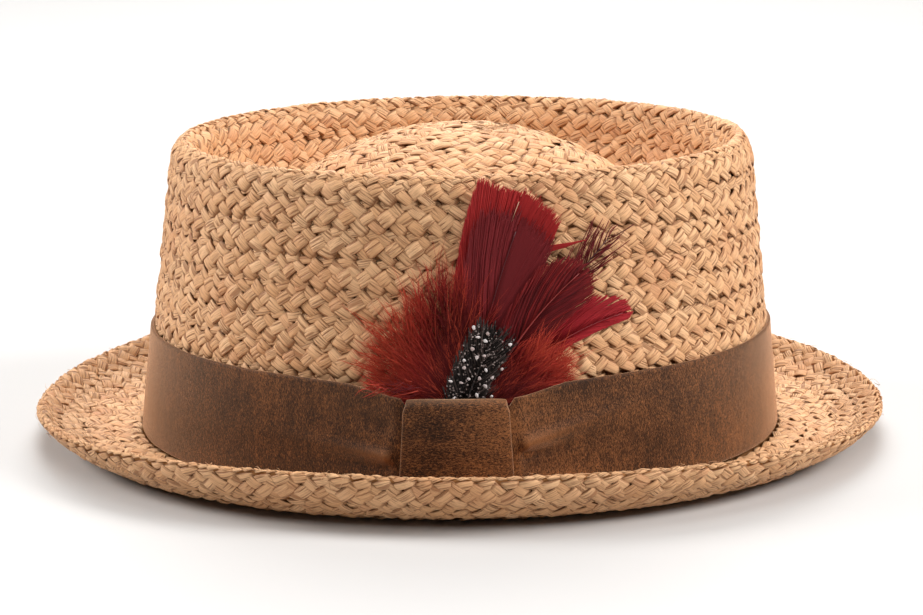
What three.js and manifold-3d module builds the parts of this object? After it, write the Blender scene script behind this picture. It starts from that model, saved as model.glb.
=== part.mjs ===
// Raffia hat: a telescoped crown, a curled brim, a leather band with a keeper, and feathers.
// Millimetres, +Z up. The hat stands on the flat ring under its brim, at height 0.
// -X is the front of the hat and -Y its left side, where the feathers are.
import * as THREE from 'three';
import { mergeVertices } from 'three/addons/utils/BufferGeometryUtils.js';
import Module from 'manifold-3d';

const gap = 0.3; // clearance between neighbouring pieces
const azimuthSteps = 52; // facets round the crown and the brim

// Crown: stations of its visible face, from the middle of the top out and down to the foot.
// Rows says how many rows of facets lie between a station and the next.
const crownStations = [
  { place: 'dome top', halfLength: 0, halfWidth: 0, height: 101, rows: 1 },
  { place: 'dome crown', halfLength: 18, halfWidth: 13.5, height: 98.8, rows: 2 },
  { place: 'dome shoulder', halfLength: 35, halfWidth: 26, height: 93.4, rows: 2 },
  { place: 'dome side', halfLength: 50, halfWidth: 37, height: 85.6, rows: 2 },
  { place: 'dome foot', halfLength: 63, halfWidth: 47.5, height: 76.5, rows: 2 },
  { place: 'channel', halfLength: 71.5, halfWidth: 55.5, height: 71.5, rows: 2 },
  { place: 'inner wall foot', halfLength: 79.5, halfWidth: 63.5, height: 74.5, rows: 2 },
  { place: 'inner wall', halfLength: 83.2, halfWidth: 67.6, height: 84, rows: 2 },
  { place: 'inner crest', halfLength: 85, halfWidth: 69.8, height: 93.2, rows: 2 },
  { place: 'crest', halfLength: 88.8, halfWidth: 73.4, height: 97.6, rows: 2 },
  { place: 'outer crest', halfLength: 92.2, halfWidth: 76, height: 93.6, rows: 1 },
  { place: 'wall top', halfLength: 93.3, halfWidth: 76.9, height: 88, rows: 1 },
  { place: 'band line', halfLength: 99.2, halfWidth: 80.9, height: 37.5, rows: 1 },
  { place: 'foot', halfLength: 103, halfWidth: 84, height: 3.3, rows: 0 },
];
const crownWall = 2.5;
const crestHeight = 97.6;
const crestLean = 1.8; // how far the crest stands behind the foot

// Brim: flat beside the crown, then an arc that turns upwards. Its sizes run from the sides of
// the hat to its front and rear tips.
const brim = {
  thickness: 3,
  sides: { flat: 6.4, arc: 29.7, turn: 1.446 },
  tips: { flat: 10.9, arc: 26.3, turn: 0.725 },
  rows: 5, // rows of facets along the arc
  rimRound: 0.9, // how far the rim's edge rounds out
};
// Uneven places of the rim, by azimuth from the rear tip; lift is how much higher it stands.
const rimWaves = [
  { azimuth: 50, lift: -2.4, spread: 30 },
  { azimuth: 345, lift: -0.5, spread: 25 },
  { azimuth: 205, lift: 0.6, spread: 25 },
  { azimuth: 273, lift: -1.2, spread: 20 },
  { azimuth: 306, lift: -0.5, spread: 20 },
];

// Leather band: it lies on the crown, and leaves it beside the keeper to bridge the quills.
const band = {
  thickness: 1.3,
  bottom: 3.6,
  top: 37.5,
  reach: 57.4, // along the hat from the keeper's middle to where the band leaves the crown
  hold: 17.4, // half the length held flat inside the keeper
  pinchTop: 4.9, // how far the keeper pulls its top edge down
  pinchBottom: 2.4, // and its bottom edge up
  pinchNear: 1.8, // half of the pull is gone this far from the keeper
  pinchFar: 18, // and all of it this far
  rows: 6,
  fineWithin: 0.45, // radians from the left side, where each column is split
  fineParts: 3,
};
// Gathers beside the keeper: a ridge is out, a hollow has a negative depth.
const gathers = [
  { side: 1, height: 22.5, rise: 0.12, depth: 1.3, spread: 3.2, fade: 20 },
  { side: 1, height: 13.5, rise: -0.1, depth: -0.8, spread: 3.6, fade: 16 },
  { side: 1, height: 30, rise: 0.15, depth: -0.5, spread: 2.6, fade: 12 },
  { side: -1, height: 17.5, rise: 0.08, depth: 1.2, spread: 3, fade: 17 },
  { side: -1, height: 26, rise: 0.15, depth: -0.7, spread: 3.4, fade: 15 },
  { side: -1, height: 9.5, rise: -0.1, depth: -0.6, spread: 2.6, fade: 14 },
];
const gatherStart = 4; // a gather grows to its depth over this length

// Keeper: a leather loop round the band.
const keeper = {
  middle: 2.4, // along the hat
  frontWall: 1.3,
  backWall: 1,
  top: 35,
  bottom: 4.2,
  halfWidthTop: 15.5,
  halfWidthBottom: 16.9,
  bulge: 1.1, // how far its front stands out in the middle
  cornerDrop: 0.5, // how far its top edge falls at the corners
  cornerRound: 1, // and how far the corners draw in
  cornerLength: 4, // along the last of the side
  columns: 6,
};
// Its section, from the back under the band, up the front and over the top. Depth is the share
// from back to front, up the share of the height, and inset what the rounded edge adds to it.
const keeperSection = [
  { depth: 0, up: 0, inset: 0.6 },
  { depth: 0.5, up: 0, inset: 0 },
  { depth: 0.9, up: 0, inset: 0.4 },
  { depth: 1, up: 0, inset: 2 },
  { depth: 1, up: 0.35, inset: 0 },
  { depth: 1, up: 0.65, inset: 0 },
  { depth: 1, up: 1, inset: -2 },
  { depth: 0.85, up: 1, inset: -0.6 },
  { depth: 0.5, up: 1, inset: 0 },
  { depth: 0.1, up: 1, inset: -0.5 },
  { depth: 0, up: 1, inset: -1.6 },
  { depth: 0, up: 0.5, inset: 0 },
];

// Feathers: each is a thin vane on a bent shaft, laid along the crown's wall on a layer of its own.
// Root and layer are places along the hat, up, and out from the wall. Lean is the angle from
// upright at the root, and bend is what it grows by up to the tip. The tip's corners reach past
// the shaft's end by tipLeft and tipRight. A vane row is [share of the length, left, right].
const vaneThickness = 0.4;
const shaftRidge = 0.2;
const feathers = [
  {
    name: 'feather_wispy', colour: 0x3a1518, root: [6, 17], layer: 1.3, lift: 0.3,
    lean: 23, bend: 22, length: 76, tipLeft: -2, tipRight: -3,
    vane: [[0, 0.6, 0.6], [0.3, 0.7, 0.7], [0.7, 1.2, 1.2], [0.85, 3, 3], [0.95, 3.4, 3.2], [1, 1.6, 1.6]],
  },
  {
    name: 'feather_low_right', colour: 0x8e1c28, root: [6, 17], layer: 0.6, lift: 0.1,
    lean: 18.5, bend: 62, length: 64, tipLeft: -6, tipRight: -0.5,
    vane: [[0, 0.7, 0.7], [0.3, 3, 2], [0.55, 6.5, 2.6], [0.75, 8.8, 2.6], [0.9, 8.6, 2.4], [1, 8.2, 2]],
  },
  {
    name: 'feather_tall', colour: 0x961f28, root: [3.5, 17], layer: 2, lift: 0.8,
    lean: 5, bend: 17, length: 77, tipLeft: 2, tipRight: -3,
    vane: [[0, 0.7, 0.7], [0.25, 5, 3], [0.5, 9, 7], [0.7, 11.5, 11.5], [0.88, 13.2, 13.4], [1, 13.4, 14]],
  },
  {
    name: 'feather_dark', colour: 0x561a1f, root: [4.5, 17], layer: 2.7, lift: 0.8,
    lean: 6, bend: 15, length: 69.5, tipLeft: -0.5, tipRight: -2.5,
    vane: [[0, 0.7, 0.7], [0.25, 4, 3], [0.5, 7.5, 7], [0.7, 10, 9.8], [0.88, 11.8, 11.2], [1, 11.4, 11.4]],
  },
  {
    name: 'feather_right', colour: 0x6c1a20, root: [5, 17], layer: 3.4, lift: 0.8,
    lean: 14, bend: 38, length: 65, tipLeft: -8.5, tipRight: -2.4,
    vane: [[0, 0.7, 0.7], [0.25, 3, 2.5], [0.5, 6, 4.5], [0.72, 8.6, 7], [0.9, 9.8, 8.2], [1, 9.2, 7.2]],
  },
  {
    name: 'feather_spotted', colour: 0x231d1c, root: [1.5, 22], layer: 4.8, lift: 0.6,
    lean: 17, bend: 9, length: 35, tipLeft: 0, tipRight: -4,
    vane: [[0, 1, 1], [0.2, 5.6, 4.6], [0.4, 7, 5.4], [0.7, 7.4, 5.6], [0.9, 6.6, 6.2], [1, 5.2, 6.4]],
  },
];

// Fluffy plumes: flat locks that fan from a root and are fused there. Angle is from upright, to
// the right; swell is the thickness a lock grows to, and tipLayer how far off the wall it ends.
const lockLayer = 4.1;
const lockRoot = 0.45; // thickness at the root
const plumes = [
  {
    name: 'plume_left', colour: 0xa03322, root: [3.5, 30],
    locks: [
      { angle: -71, length: 30, width: 8, swell: 1.4, tipLayer: 1.6 },
      { angle: -59, length: 33, width: 9, swell: 2, tipLayer: 2 },
      { angle: -47, length: 37, width: 9, swell: 2.4, tipLayer: 2.4 },
      { angle: -34, length: 37, width: 9, swell: 2.4, tipLayer: 2.6 },
      { angle: -21, length: 38, width: 9, swell: 2.2, tipLayer: 2.8 },
      { angle: -9, length: 43, width: 8, swell: 1.6, tipLayer: 3.6 },
      { angle: 2, length: 41, width: 7, swell: 1, tipLayer: 3.8 },
    ],
  },
  {
    name: 'plume_right', colour: 0xa83320, root: [9, 30],
    locks: [
      { angle: 48, length: 29, width: 8, swell: 1.2, tipLayer: 4.9 },
      { angle: 59, length: 31, width: 8, swell: 1.4, tipLayer: 4.2 },
      { angle: 69, length: 30, width: 7, swell: 1.1, tipLayer: 2 },
    ],
  },
];

const leather = { color: 0x5c412d, roughness: 0.7, metalness: 0 };
const raffia = { color: 0xc69a6c, roughness: 0.65, metalness: 0 };

const wasm = await Module();
wasm.setup();

// A closed body from rows of points. Each row goes round; the rows also close on each other,
// or else end in a single point or a flat cap.
function bodyFromRows(rows, wrap) {
  const points = rows.flat();
  const starts = [];
  let count = 0;
  for (const row of rows) {
    starts.push(count);
    count += row.length;
  }
  const index = [];
  const last = wrap ? rows.length : rows.length - 1;
  for (let r = 0; r < last; r++) {
    const s = (r + 1) % rows.length;
    joinRows(index, starts[r], rows[r].length, starts[s], rows[s].length);
  }
  if (!wrap) {
    capRow(index, starts[0], rows[0].length, true);
    capRow(index, starts.at(-1), rows.at(-1).length, false);
  }
  return outwardGeometry(points, index);
}

function joinRows(index, start, count, nextStart, nextCount) {
  const steps = Math.max(count, nextCount);
  for (let i = 0; i < steps; i++) {
    const j = (i + 1) % steps;
    if (count > 1) index.push(start + i, start + j, nextStart + (nextCount > 1 ? j : 0));
    if (nextCount > 1) index.push(start + (count > 1 ? i : 0), nextStart + j, nextStart + i);
  }
}

// A row runs out along one face and back along the other, so its cap is a strip between them.
function capRow(index, start, count, first) {
  for (let i = 0; i < count / 2 - 1; i++) {
    const quad = [start + i, start + i + 1, start + count - 2 - i, start + count - 1 - i];
    const [a, b, c, d] = first ? quad.reverse() : quad;
    index.push(a, b, c, a, c, d);
  }
}

function outwardGeometry(points, index) {
  let volume = 0;
  const cross = new THREE.Vector3();
  for (let i = 0; i < index.length; i += 3) {
    const [a, b, c] = [0, 1, 2].map((k) => points[index[i + k]]);
    volume += cross.crossVectors(b, c).dot(a);
  }
  if (volume < 0) index.reverse();
  const geometry = new THREE.BufferGeometry().setFromPoints(points);
  geometry.setIndex(index);
  return geometry;
}

// Value of a table column between two stations, read off at a share of another column.
function columnAt(stations, key, column, value) {
  const rising = stations.at(-1)[key] > stations[0][key];
  const order = rising ? stations : [...stations].reverse();
  let i = order.findIndex((s) => s[key] > value);
  if (i < 1) i = i === 0 ? 1 : order.length - 1;
  const [p, q] = [order[i - 1], order[i]];
  const share = (value - p[key]) / (q[key] - p[key]);
  return p[column] + (q[column] - p[column]) * share;
}

const smooth = (x) => {
  const t = Math.min(Math.max(x, 0), 1);
  return t * t * (3 - 2 * t);
};
const leanAt = (height) => crestLean * height / crestHeight;

// Crown profile: a smooth curve through the stations, as rows of half sizes, height and normals.
function crownRows() {
  const curve = new THREE.CatmullRomCurve3(
    crownStations.map((s) => new THREE.Vector3(s.halfLength, s.halfWidth, s.height)),
    false, 'centripetal');
  const rows = [];
  const pieces = crownStations.length - 1;
  crownStations.forEach((station, i) => {
    for (let k = 0; k < Math.max(station.rows, 1); k++) {
      const u = Math.min((i + (station.rows ? k / station.rows : 0)) / pieces, 1);
      const p = curve.getPoint(u);
      const t = curve.getTangent(u);
      const alongLength = Math.hypot(t.x, t.z);
      const alongWidth = Math.hypot(t.y, t.z);
      rows.push({
        halfLength: p.x, halfWidth: p.y, height: p.z,
        outLength: -t.z / alongLength, outWidth: -t.z / alongWidth, up: t.x / alongLength,
      });
    }
  });
  rows[0].outLength = rows[0].outWidth = 0;
  rows[0].up = 1;
  return rows;
}
const crownFace = crownRows();
const wallRows = crownFace.filter((row) => row.halfLength > crownStations.at(-3).halfLength - 0.01);

function ovalRow(halfLength, halfWidth, height) {
  return Array.from({ length: azimuthSteps }, (_, i) => {
    const azimuth = 2 * Math.PI * i / azimuthSteps;
    return new THREE.Vector3(
      leanAt(height) + halfLength * Math.cos(azimuth), halfWidth * Math.sin(azimuth), height);
  });
}

function crownGeometry() {
  const foot = crownStations.at(-1).height;
  const outer = crownFace.map((r) => ovalRow(r.halfLength, r.halfWidth, r.height));
  const inner = crownFace.map((r) => ovalRow(
    r.halfLength - r.outLength * crownWall,
    r.halfWidth - r.outWidth * crownWall,
    Math.max(r.height - r.up * crownWall, foot)));
  outer[0] = [new THREE.Vector3(leanAt(crownFace[0].height), 0, crownFace[0].height)];
  inner[0] = [outer[0][0].clone().setZ(crownFace[0].height - crownWall)];
  return bodyFromRows([...outer, ...inner.reverse()], false);
}

function rimLift(azimuth) {
  return rimWaves.reduce((sum, wave) => {
    const away = THREE.MathUtils.radToDeg(azimuth) - wave.azimuth;
    return sum + wave.lift * Math.exp(-((away / wave.spread) ** 2));
  }, 0);
}

// Brim section at one azimuth: distance out from the crown's foot and height along the arc.
function brimPoint(azimuth, share, offset) {
  const { sides, tips } = brim;
  const tip = Math.cos(azimuth) ** 2;
  const mix = (key) => sides[key] + (tips[key] - sides[key]) * tip;
  const radius = mix('arc') / mix('turn');
  const angle = mix('turn') * share;
  const out = mix('flat') + radius * Math.sin(angle) - offset * Math.sin(angle);
  const up = radius * (1 - Math.cos(angle)) + offset * Math.cos(angle) + rimLift(azimuth) * share ** 2;
  const foot = crownStations.at(-1);
  return new THREE.Vector3(
    (foot.halfLength + out) * Math.cos(azimuth), (foot.halfWidth + out) * Math.sin(azimuth), up);
}

function brimGeometry() {
  const foot = crownStations.at(-1);
  const row = (pointAt) => Array.from(
    { length: azimuthSteps }, (_, i) => pointAt(2 * Math.PI * i / azimuthSteps));
  const innerEdge = (height) => row((azimuth) => new THREE.Vector3(
    (foot.halfLength - crownWall) * Math.cos(azimuth),
    (foot.halfWidth - crownWall) * Math.sin(azimuth), height));
  const shares = Array.from({ length: brim.rows + 1 }, (_, i) => i / brim.rows);
  const under = shares.map((share) => row((azimuth) => brimPoint(azimuth, share, 0)));
  const upper = shares.map((share) => row((azimuth) => brimPoint(azimuth, share, brim.thickness)));
  const rim = under.at(-1).map((point, i) => {
    const middle = point.clone().lerp(upper.at(-1)[i], 0.5);
    const out = point.clone().sub(under.at(-2)[i]).normalize();
    return middle.addScaledVector(out, brim.rimRound);
  });
  return bodyFromRows(
    [innerEdge(0), ...under, rim, ...upper.reverse(), innerEdge(brim.thickness)], true);
}

// A point of the crown's wall at an azimuth and height, moved straight out by an offset.
function wallPoint(azimuth, height, offset) {
  const a = columnAt(wallRows, 'height', 'halfLength', height);
  const b = columnAt(wallRows, 'height', 'halfWidth', height);
  const normal = new THREE.Vector2(Math.cos(azimuth) / a, Math.sin(azimuth) / b).normalize();
  return new THREE.Vector3(
    leanAt(height) + a * Math.cos(azimuth) + normal.x * offset,
    b * Math.sin(azimuth) + normal.y * offset, height);
}

// The same wall met from the left side of the hat, at a place along it.
function drape(along, height, offset) {
  const a = columnAt(wallRows, 'height', 'halfLength', height) + offset;
  const b = columnAt(wallRows, 'height', 'halfWidth', height) + offset;
  const share = (along - leanAt(height)) / a;
  return new THREE.Vector3(along, -b * Math.sqrt(1 - share * share), height);
}

// How far the band's inner face stands off the crown, by distance along the hat from the keeper.
function standOff(distance) {
  const line = crownStations.at(-2);
  const curvature = line.halfWidth / (2 * line.halfLength ** 2);
  return gap + curvature * Math.max(band.reach - Math.max(distance, band.hold), 0) ** 2;
}

function gatherAt(along, height) {
  const side = Math.sign(along - keeper.middle);
  const beyond = Math.abs(along - keeper.middle) - band.hold;
  if (beyond <= 0) return 0;
  let depth = 0;
  for (const fold of gathers) {
    if (fold.side !== side) continue;
    const away = (height - fold.height - fold.rise * beyond) / fold.spread;
    const rise = smooth(beyond / gatherStart) * Math.exp(-beyond / fold.fade);
    depth += fold.depth * Math.exp(-away * away) * rise;
  }
  return depth;
}

function bandEdges(along) {
  const distance = Math.abs(along - keeper.middle);
  const pinch = (held) => 1 - 0.5 * smooth((distance - held) / band.pinchNear)
    - 0.5 * smooth((distance - held) / band.pinchFar);
  return {
    low: band.bottom + band.pinchBottom * pinch(band.hold),
    high: band.top - band.pinchTop * pinch(keeper.halfWidthTop),
  };
}

// Azimuths of the band's columns: those of the crown, and finer ones beside the keeper.
function bandAzimuths() {
  const step = 2 * Math.PI / azimuthSteps;
  const keeperSide = 1.5 * Math.PI;
  const azimuths = [];
  for (let i = 0; i < azimuthSteps; i++) {
    const near = Math.abs((i + 0.5) * step - keeperSide) < band.fineWithin;
    const parts = near ? band.fineParts : 1;
    for (let k = 0; k < parts; k++) azimuths.push((i + k / parts) * step);
  }
  return azimuths;
}

function bandGeometry() {
  const azimuths = bandAzimuths();
  const face = (offset) => Array.from({ length: band.rows + 1 }, (_, r) => azimuths.map((azimuth) => {
    const near = azimuth > Math.PI;
    const guess = wallPoint(azimuth, band.top / 2, 0);
    const distance = near ? Math.abs(guess.x - keeper.middle) : band.reach;
    const edges = near ? bandEdges(guess.x) : { low: band.bottom, high: band.top };
    const height = edges.low + (edges.high - edges.low) * r / band.rows;
    const fold = near ? gatherAt(guess.x, height) : 0;
    return wallPoint(azimuth, height, standOff(distance) + fold + offset);
  }));
  return bodyFromRows([...face(band.thickness), ...face(0).reverse()], true);
}

// One loop of the keeper's section at a place across it: its outer or its inner face.
function keeperLoop(across, face) {
  const { top, bottom, halfWidthTop, halfWidthBottom } = keeper;
  return keeperSection.map((row) => {
    const up = face.low + (face.high - face.low) * row.up + row.inset * face.rounding;
    const halfWidth = halfWidthTop
      + (halfWidthBottom - halfWidthTop) * smooth((top - up) / (top - bottom))
      - keeper.cornerRound * smooth((up - top + keeper.cornerLength) / keeper.cornerLength);
    const fall = 2 * keeper.cornerLength;
    const drop = keeper.cornerDrop * across ** 6 * smooth((up - top + fall) / fall);
    const out = face.back + (face.front - face.back) * row.depth
      + keeper.bulge * row.depth * (1 - across * across);
    return drape(keeper.middle + across * halfWidth, up - drop, out);
  });
}

function keeperGeometry() {
  const inside = standOff(0);
  const inner = {
    back: inside - gap,
    front: inside + band.thickness + gap,
    low: band.bottom + band.pinchBottom - gap,
    high: band.top - band.pinchTop + gap + keeper.cornerDrop,
    rounding: 0.3,
  };
  const outer = {
    back: inner.back - keeper.backWall,
    front: inner.front + keeper.frontWall,
    low: keeper.bottom,
    high: keeper.top,
    rounding: 1,
  };
  const columns = Array.from({ length: keeper.columns + 1 }, (_, i) => 2 * i / keeper.columns - 1);
  return bodyFromRows([
    ...columns.map((across) => keeperLoop(across, outer)),
    ...columns.map((across) => keeperLoop(-across, inner)),
  ], true);
}

// Shaft of a feather in the flat: places along the hat and up, with the direction there.
function shaftPoint(feather, share) {
  const steps = 24;
  const point = [...feather.root];
  let angle = 0;
  for (let i = 0; i < steps; i++) {
    angle = THREE.MathUtils.degToRad(feather.lean + feather.bend * share * (i + 0.5) / steps);
    point[0] += Math.sin(angle) * feather.length * share / steps;
    point[1] += Math.cos(angle) * feather.length * share / steps;
  }
  return { along: point[0], up: point[1], angle };
}

function featherGeometry(feather) {
  const stations = feather.vane.map(([share, left, right]) => ({ share, left, right }));
  const rowCount = 11;
  const across = [-1, -0.5, 0, 0.5, 1];
  const rows = Array.from({ length: rowCount }, (_, r) => {
    const share = r / (rowCount - 1);
    const left = columnAt(stations, 'share', 'left', share);
    const right = columnAt(stations, 'share', 'right', share);
    const { along, up, angle } = shaftPoint(feather, share);
    const point = (side, offset) => {
      const width = side < 0 ? side * left : side * right;
      const reach = (side < 0 ? feather.tipLeft : feather.tipRight) * Math.abs(side * share) ** 3;
      const layer = feather.layer + feather.lift * share ** 3;
      return drape(
        along + width * Math.cos(angle) + reach * Math.sin(angle),
        up - width * Math.sin(angle) + reach * Math.cos(angle), layer + offset);
    };
    const ridge = (side) => (side === 0 ? shaftRidge : 0);
    return [
      ...across.map((side) => point(side, vaneThickness / 2 + ridge(side))),
      ...across.map((side) => point(-side, -vaneThickness / 2)),
    ];
  });
  return bodyFromRows(rows, false);
}

// One lock of a plume: a flat tapered strip with an oval section.
function lockGeometry(plume, lock) {
  const rowCount = 7;
  const sides = 8;
  const angle = THREE.MathUtils.degToRad(lock.angle);
  const rows = Array.from({ length: rowCount }, (_, r) => {
    const share = r / (rowCount - 1);
    const distance = lock.length * share;
    const halfWidth = lock.width / 2 * (0.3 + 0.7 * Math.sin(Math.PI * Math.min(0.1 + share * 0.86, 1)));
    const swell = smooth((share - 0.3) / 0.4) * (1 - 0.6 * smooth((share - 0.75) / 0.25));
    const halfThickness = (lockRoot + (lock.swell - lockRoot) * swell) / 2;
    const layer = lockLayer + (lock.tipLayer - lockLayer) * smooth((share - 0.35) / 0.5);
    return Array.from({ length: sides }, (_, k) => {
      const turn = 2 * Math.PI * (k + 0.5) / sides;
      const width = halfWidth * Math.cos(turn);
      return drape(
        plume.root[0] + distance * Math.sin(angle) + width * Math.cos(angle),
        plume.root[1] + distance * Math.cos(angle) - width * Math.sin(angle),
        layer + halfThickness * Math.sin(turn));
    });
  });
  return bodyFromRows(rows, false);
}

function plumeGeometry(plume) {
  let fused = null;
  for (const lock of plume.locks) {
    const solid = toManifold(lockGeometry(plume, lock));
    fused = fused ? fused.add(solid) : solid;
  }
  return fromManifold(fused);
}

function toManifold(geometry) {
  const merged = mergeVertices(geometry);
  return new wasm.Manifold(new wasm.Mesh({
    numProp: 3,
    vertProperties: new Float32Array(merged.attributes.position.array),
    triVerts: new Uint32Array(merged.index.array),
  }));
}

function fromManifold(solid) {
  const mesh = solid.getMesh();
  const geometry = new THREE.BufferGeometry();
  geometry.setAttribute('position', new THREE.BufferAttribute(mesh.vertProperties, 3));
  geometry.setIndex(new THREE.BufferAttribute(mesh.triVerts, 1));
  return geometry;
}

function addPiece(group, name, geometry, finish) {
  geometry.computeVertexNormals();
  const mesh = new THREE.Mesh(geometry, new THREE.MeshStandardMaterial(finish));
  mesh.name = name;
  group.add(mesh);
}

const hat = new THREE.Group();
addPiece(hat, 'crown', crownGeometry(), raffia);
addPiece(hat, 'brim', brimGeometry(), raffia);
addPiece(hat, 'band', bandGeometry(), leather);
addPiece(hat, 'keeper', keeperGeometry(), leather);
for (const feather of feathers) {
  addPiece(hat, feather.name, featherGeometry(feather),
    { color: feather.colour, roughness: 0.75, metalness: 0 });
}
for (const plume of plumes) {
  addPiece(hat, plume.name, plumeGeometry(plume), { color: plume.colour, roughness: 0.85, metalness: 0 });
}

export default hat;
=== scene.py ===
import math

import bpy
import numpy as np
from mathutils import Matrix


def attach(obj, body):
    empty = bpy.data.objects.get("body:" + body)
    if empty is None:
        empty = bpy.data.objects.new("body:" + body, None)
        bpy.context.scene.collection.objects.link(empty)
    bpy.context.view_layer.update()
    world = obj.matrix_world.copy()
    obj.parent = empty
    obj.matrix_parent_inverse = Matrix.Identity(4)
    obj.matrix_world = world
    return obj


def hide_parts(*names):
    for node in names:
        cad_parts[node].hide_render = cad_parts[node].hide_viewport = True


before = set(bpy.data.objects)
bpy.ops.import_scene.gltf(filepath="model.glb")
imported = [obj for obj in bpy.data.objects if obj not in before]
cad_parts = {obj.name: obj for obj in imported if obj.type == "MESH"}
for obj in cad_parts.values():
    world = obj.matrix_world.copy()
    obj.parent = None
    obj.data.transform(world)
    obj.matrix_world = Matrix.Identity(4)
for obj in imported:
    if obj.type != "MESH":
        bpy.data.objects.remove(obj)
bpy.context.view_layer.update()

mm = 0.001
turn = 2 * math.pi


# Small tools for meshes and node trees

def smooth(x):
    t = np.clip(x, 0, 1)
    return t * t * (3 - 2 * t)


def rows(*columns):
    # points or sizes side by side; a single number stands for a whole column
    return np.stack(np.broadcast_arrays(*columns), axis=-1)


def joined(batches):
    return {key: np.concatenate([batch[key] for batch in batches]) for key in batches[0]}


def cubic(start, end, startSlope, endSlope, shares):
    step = end - start
    return (start + startSlope * shares + (3 * step - 2 * startSlope - endSlope) * shares ** 2
            + (startSlope + endSlope - 2 * step) * shares ** 3)


def linkObject(name, mesh):
    piece = bpy.data.objects.new(name, mesh)
    bpy.context.scene.collection.objects.link(piece)
    return piece


def shadeSmooth(mesh):
    mesh.polygons.foreach_set("use_smooth", np.ones(len(mesh.polygons), dtype=bool))
    mesh.update()


def meshFromRings(name, rings, finish, closeEnds=False, wrap=False):
    # rings of points, each going round; a ring of one point is a pole
    rings = [np.atleast_2d(ring) for ring in rings]
    counts = [len(ring) for ring in rings]
    starts = np.cumsum([0] + counts)
    faces = []
    for first in range(len(rings) if wrap else len(rings) - 1):
        second = (first + 1) % len(rings)
        a, b = starts[first], starts[second]
        around = max(counts[first], counts[second])
        for i in range(around):
            j = (i + 1) % around
            if counts[first] == 1:
                faces.append((a, b + i, b + j))
            elif counts[second] == 1:
                faces.append((a + i, b, a + j))
            else:
                faces.append((a + i, b + i, b + j, a + j))
    if closeEnds:
        for start, end, way in ((starts[0], starts[1], 1), (starts[-2], starts[-1], -1)):
            if end - start > 2:
                faces.append(tuple(range(start, end))[::way])
    mesh = bpy.data.meshes.new(name)
    mesh.from_pydata((np.concatenate(rings) * mm).tolist(), [], faces)
    mesh.materials.append(finish)
    shadeSmooth(mesh)
    return mesh


def writeTone(mesh, tone):
    known = mesh.attributes.get("tone") or mesh.attributes.new("tone", "FLOAT", "POINT")
    known.data.foreach_set("value", tone.astype(np.float32))


def readPoints(mesh):
    points = np.empty(len(mesh.vertices) * 3, dtype=np.float32)
    mesh.vertices.foreach_get("co", points)
    return points.reshape(-1, 3).astype(float)


def turnOutwards(mesh):
    mesh.update()
    mesh.calc_loop_triangles()
    corners = np.empty(len(mesh.loop_triangles) * 3, dtype=np.int32)
    mesh.loop_triangles.foreach_get("vertices", corners)
    a, b, c = readPoints(mesh)[corners.reshape(-1, 3)].transpose(1, 0, 2)
    if np.einsum("ij,ij->i", a, np.cross(b, c)).sum() < 0:
        mesh.flip_normals()


def pieceFromRings(name, rings, finish, tone=None, **ends):
    mesh = meshFromRings(name, rings, finish, **ends)
    if tone is not None:
        writeTone(mesh, tone)
    turnOutwards(mesh)
    return linkObject(name, mesh)


def dress(pieces, node):
    for piece in pieces:
        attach(piece, "root")
        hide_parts(node)


class Nodes:
    # A node tree that is written top down: add() makes a node, sets its sockets and links them.
    def __init__(self, tree):
        self.tree = tree
        tree.nodes.clear()

    def add(self, kind, inputs=None, **settings):
        node = self.tree.nodes.new(kind)
        for key, value in settings.items():
            setattr(node, key, value)
        for key, value in (inputs or {}).items():
            if isinstance(value, bpy.types.NodeSocket):
                self.tree.links.new(value, node.inputs[key])
            else:
                node.inputs[key].default_value = value
        return node

    def math(self, operation, first, second=0.0):
        return self.add("ShaderNodeMath", {0: first, 1: second}, operation=operation).outputs[0]

    def between(self, value, low, high, toLow=0.0, toHigh=1.0):
        return self.add("ShaderNodeMapRange", {
            "Value": value, "From Min": low, "From Max": high, "To Min": toLow, "To Max": toHigh}).outputs[0]

    def vector(self, x, y, z):
        return self.add("ShaderNodeCombineXYZ", {0: x, 1: y, 2: z}).outputs[0]

    def attribute(self, name):
        return self.add("ShaderNodeAttribute", attribute_name=name).outputs["Fac"]

    def places(self):
        return self.add("ShaderNodeTexCoord").outputs["Object"]

    def fibre(self):
        # how far along and across its own shape a point lies
        place = self.add("ShaderNodeUVMap", uv_map="fibre").outputs[0]
        return self.add("ShaderNodeSeparateXYZ", {0: place}).outputs[:2]

    def noise(self, where, scale, detail, roughness=0.5, distortion=0.0):
        return self.add("ShaderNodeTexNoise", {
            "Vector": where, "Scale": scale, "Detail": detail, "Roughness": roughness,
            "Distortion": distortion}).outputs[0]

    def blendColours(self, share, first, second):
        return self.add("ShaderNodeMix", {0: share, 6: first, 7: second}, data_type="RGBA").outputs[2]

    def layColours(self, tone, layers):
        # each layer: a value, where it starts and ends, the layer's full share and its colour
        for value, start, end, share, hexCode in layers:
            tone = self.blendColours(self.between(value, start, end, 0, share), tone, colour(hexCode))
        return tone


def colour(hexCode):
    # a colour as read off, made linear
    parts = [int(hexCode[i:i + 2], 16) / 255 for i in (0, 2, 4)]
    return [c / 12.92 if c < 0.04045 else ((c + 0.055) / 1.055) ** 2.4 for c in parts] + [1.0]


def newFinish(name):
    finish = bpy.data.materials.new(name)
    finish.use_nodes = True
    return finish, Nodes(finish.node_tree)


def closeFinish(nodes, tone, roughness, specular, bump=None, others=None):
    # bump: its height, distance and strength
    inputs = {"Base Color": tone, "Roughness": roughness, "Specular IOR Level": specular, **(others or {})}
    if bump:
        inputs["Normal"] = nodes.add(
            "ShaderNodeBump", dict(zip(("Height", "Distance", "Strength"), bump))).outputs[0]
    shader = nodes.add("ShaderNodeBsdfPrincipled", inputs)
    nodes.add("ShaderNodeOutputMaterial", {0: shader.outputs[0]})


# Camera, floor and light

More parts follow.
